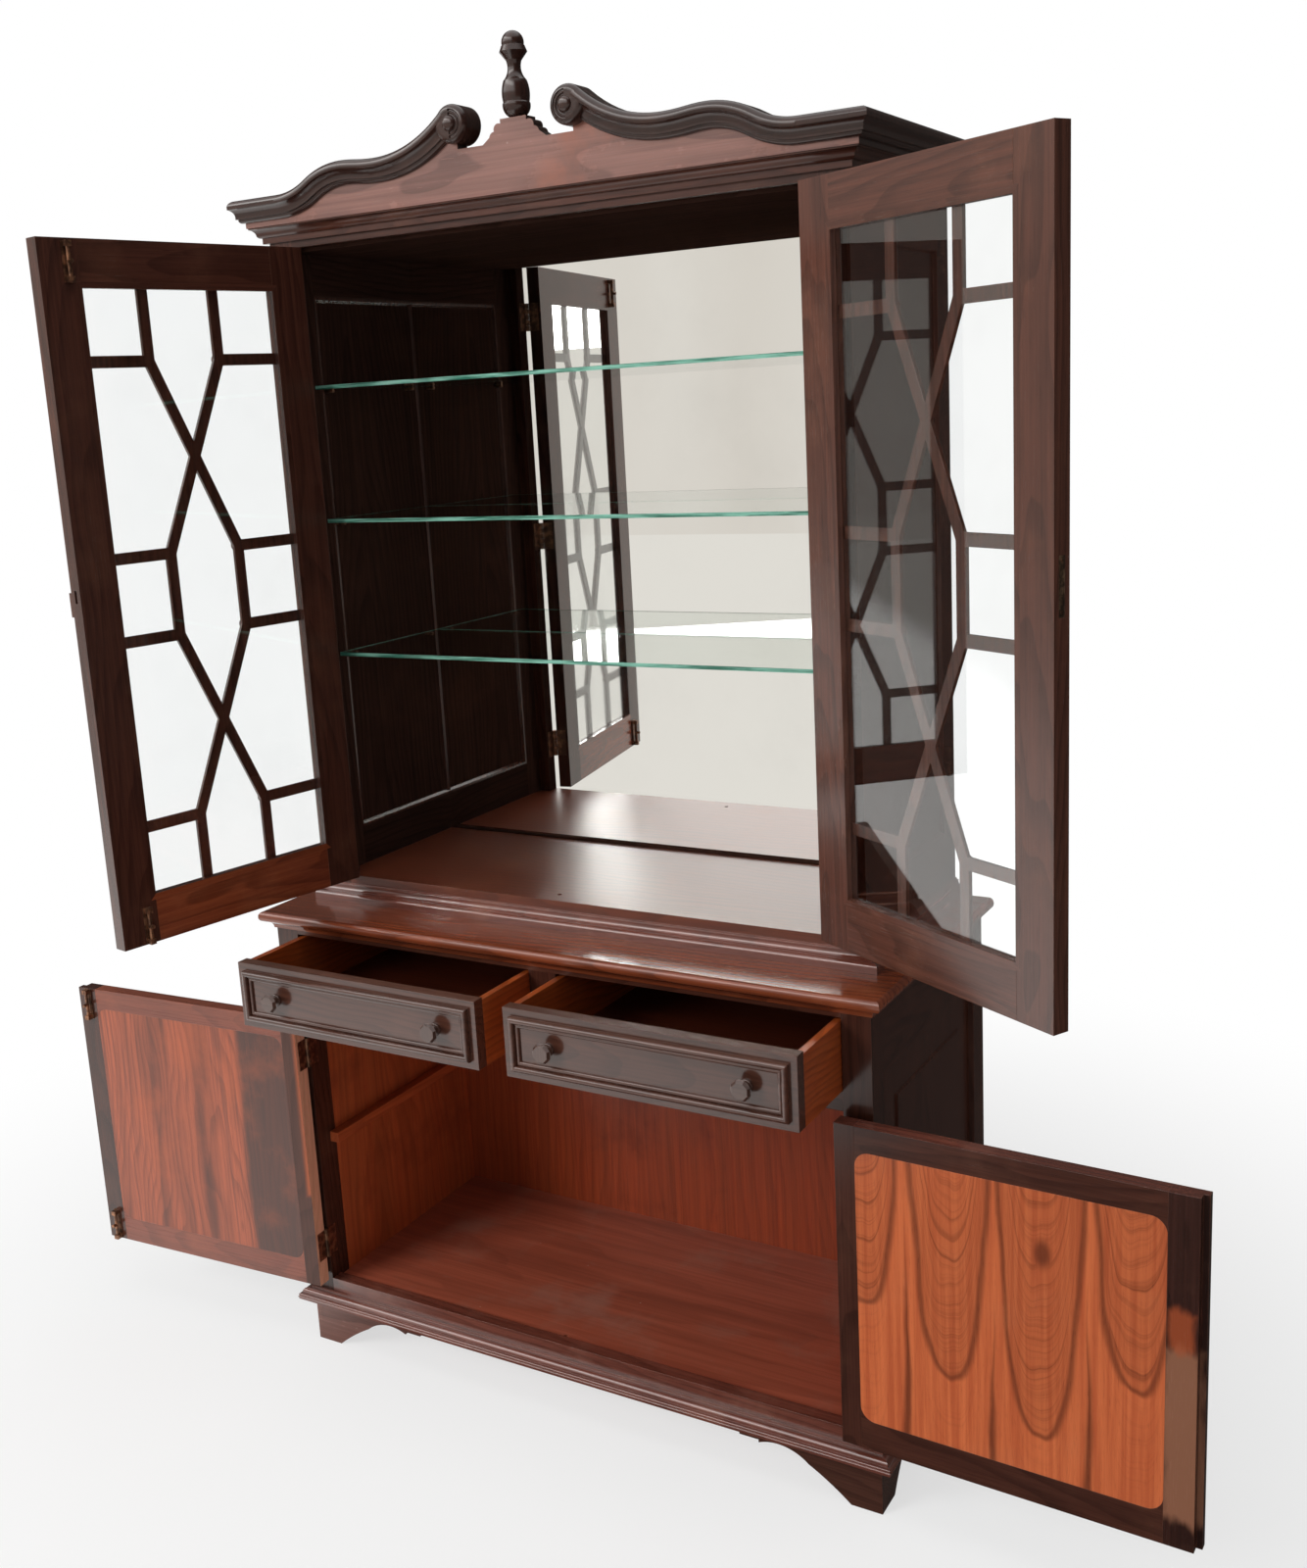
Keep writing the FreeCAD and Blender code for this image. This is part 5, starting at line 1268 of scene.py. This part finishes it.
@dataclass
class GlazedDoor(Assembly):
    """One glazed door of the upper case."""

    side: str = "left"
    rail_top: float = 0.96

    def build(self) -> None:
        """Dresses the door."""
        name = "upper_" + self.side + "_door"
        polish = "dark_polish" if self.side == "left" else "door_polish"
        # The inner face of the left door's bottom rail takes red_polish: a painted reddish highlight along
        # the rail.
        rail = Rule("red_polish", lambda face: face.high[2] < self.rail_top and face.normal[1] > FACING)
        self.finish(name + "_frame", polish, rules=(rail,) if self.side == "left" else ())
        self.finish(name + "_bars", polish)
        self.finish(name + "_glass", "clear_glass")
        self.finish(name + "_hinges", "bronze")
        if self.side == "left":
            self.finish_all("bronze", *(f"upper_left_bolt_{part}" for part in BOLT_PARTS))
        else:
            self.finish_all("lock_metal", "upper_right_lock", "upper_right_lock_bolt")


@dataclass
class Cornice(Assembly):
    """The cornice, the swan necks and the finial."""

    def build(self) -> None:
        """Dresses the cornice."""
        self.finish("tympanum", "black_gloss", Run.ACROSS, rules=(
            Rule("pale_figured", lambda face: face.normal[1] < -FACING),
        ))
        self.finish_all("black_gloss", "pediment_left", "pediment_right", run=Run.ACROSS)
        self.finish("finial", "black_gloss", Run.UPRIGHT)


@dataclass
class Fittings:
    """Where the screws of every hinge, bolt and lock go."""

    workshop: Workshop
    nodes: dict[str, bpy.types.Object]
    lower_pin: tuple[float, float] = (0.4895, FRONT_Y - PROUD)
    upper_pin: tuple[float, float] = (0.4475, FRONT_Y + 0.0942)
    flat: float = 0.0003
    hinge_gap: float = 0.1

    def heights(self, name: str) -> tuple[float, ...]:
        """Middles of the hinges of a node, found from its mesh."""
        points = sorted({round(vertex.co.z, 4) for vertex in self.nodes[name].data.vertices})
        groups: list[list[float]] = [[points[0]]]
        for z in points[1:]:
            if z - groups[-1][-1] > self.hinge_gap:
                groups.append([z])
            groups[-1].append(z)
        return tuple((group[0] + group[-1]) / 2 for group in groups)

    def boxes(self, name: str, pin: tuple[float, float], turn: float) -> list[tuple[np.ndarray, np.ndarray]]:
        """Lowest and highest corner of each loose part of a node, with its door turned shut.

        Args:
            name: The node.
            pin: The door's hinge axis.
            turn: Angle in degrees by which the door stands turned.

        Returns:
            The pairs of corners.
        """
        mesh = self.nodes[name].data
        axis = np.array([*pin, 0.0])
        points = self.workshop.turned_shut(mesh, turn) + axis - self.workshop.spin(turn) @ axis
        groups: dict[int, set[int]] = {}
        for face, board in zip(mesh.polygons, self.workshop.boards(mesh)):
            groups.setdefault(int(board), set()).update(face.vertices)
        return [(points[list(group)].min(0), points[list(group)].max(0)) for group in groups.values()]

    def build(self) -> None:
        """Makes the screws, body by body."""
        case = Screws(self.workshop, self.nodes)
        for (x, y), name in ((self.lower_pin, "lower_case_hinges"), (self.upper_pin, "upper_case_hinges")):
            heights = self.heights(name)
            case.hinge_leaves(x + self.flat, y + PROUD, heights, -1.0)
            case.hinge_leaves(-x - self.flat, y + PROUD, heights, 1.0)
        case.build()
        for body, turn in TURNS.items():
            x, y = self.lower_pin if body.startswith("lower") else self.upper_pin
            side = -1.0 if "left" in body else 1.0
            screws = Screws(self.workshop, self.nodes, turn, body=body, pin=(side * x, y))
            screws.hinge_leaves(side * (x - self.flat), y + PROUD, self.heights(body + "_hinges"), side)
            if side < 0:
                for low, high in self.boxes(body.replace("door", "bolt_plates"), (side * x, y), turn):
                    screws.bolt_plate(low, high)
            elif body == "upper_right_door":
                for low, high in self.boxes("upper_right_lock", (side * x, y), turn):
                    screws.lock_face(low, high)
            screws.build()


def corners(box: tuple[Vector, Vector]) -> list[list[float]]:
    """A box as plain lists of numbers."""
    return [[round(float(value), 6) for value in corner] for corner in box]


def main() -> None:
    """Builds the studio and dresses the whole cabinet."""
    logging.basicConfig(level=logging.INFO, format="%(message)s")
    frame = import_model()
    nodes = frame["nodes"]
    Studio().build()
    workshop = Workshop()
    parts: list[Assembly | Fittings] = [LowerCase(workshop, nodes)]
    parts += [Drawer(workshop, nodes, side=side) for side in SIDES]
    for tier, kind, case in (("lower", CupboardDoor, UpperCase), ("upper", GlazedDoor, Cornice)):
        parts += [kind(workshop, nodes, TURNS[f"{tier}_{side}_door"], side=side) for side in SIDES]
        parts.append(case(workshop, nodes))
    parts.append(Fittings(workshop, nodes))
    for part in parts:
        part.build()


if __name__ == "__main__":
    main()
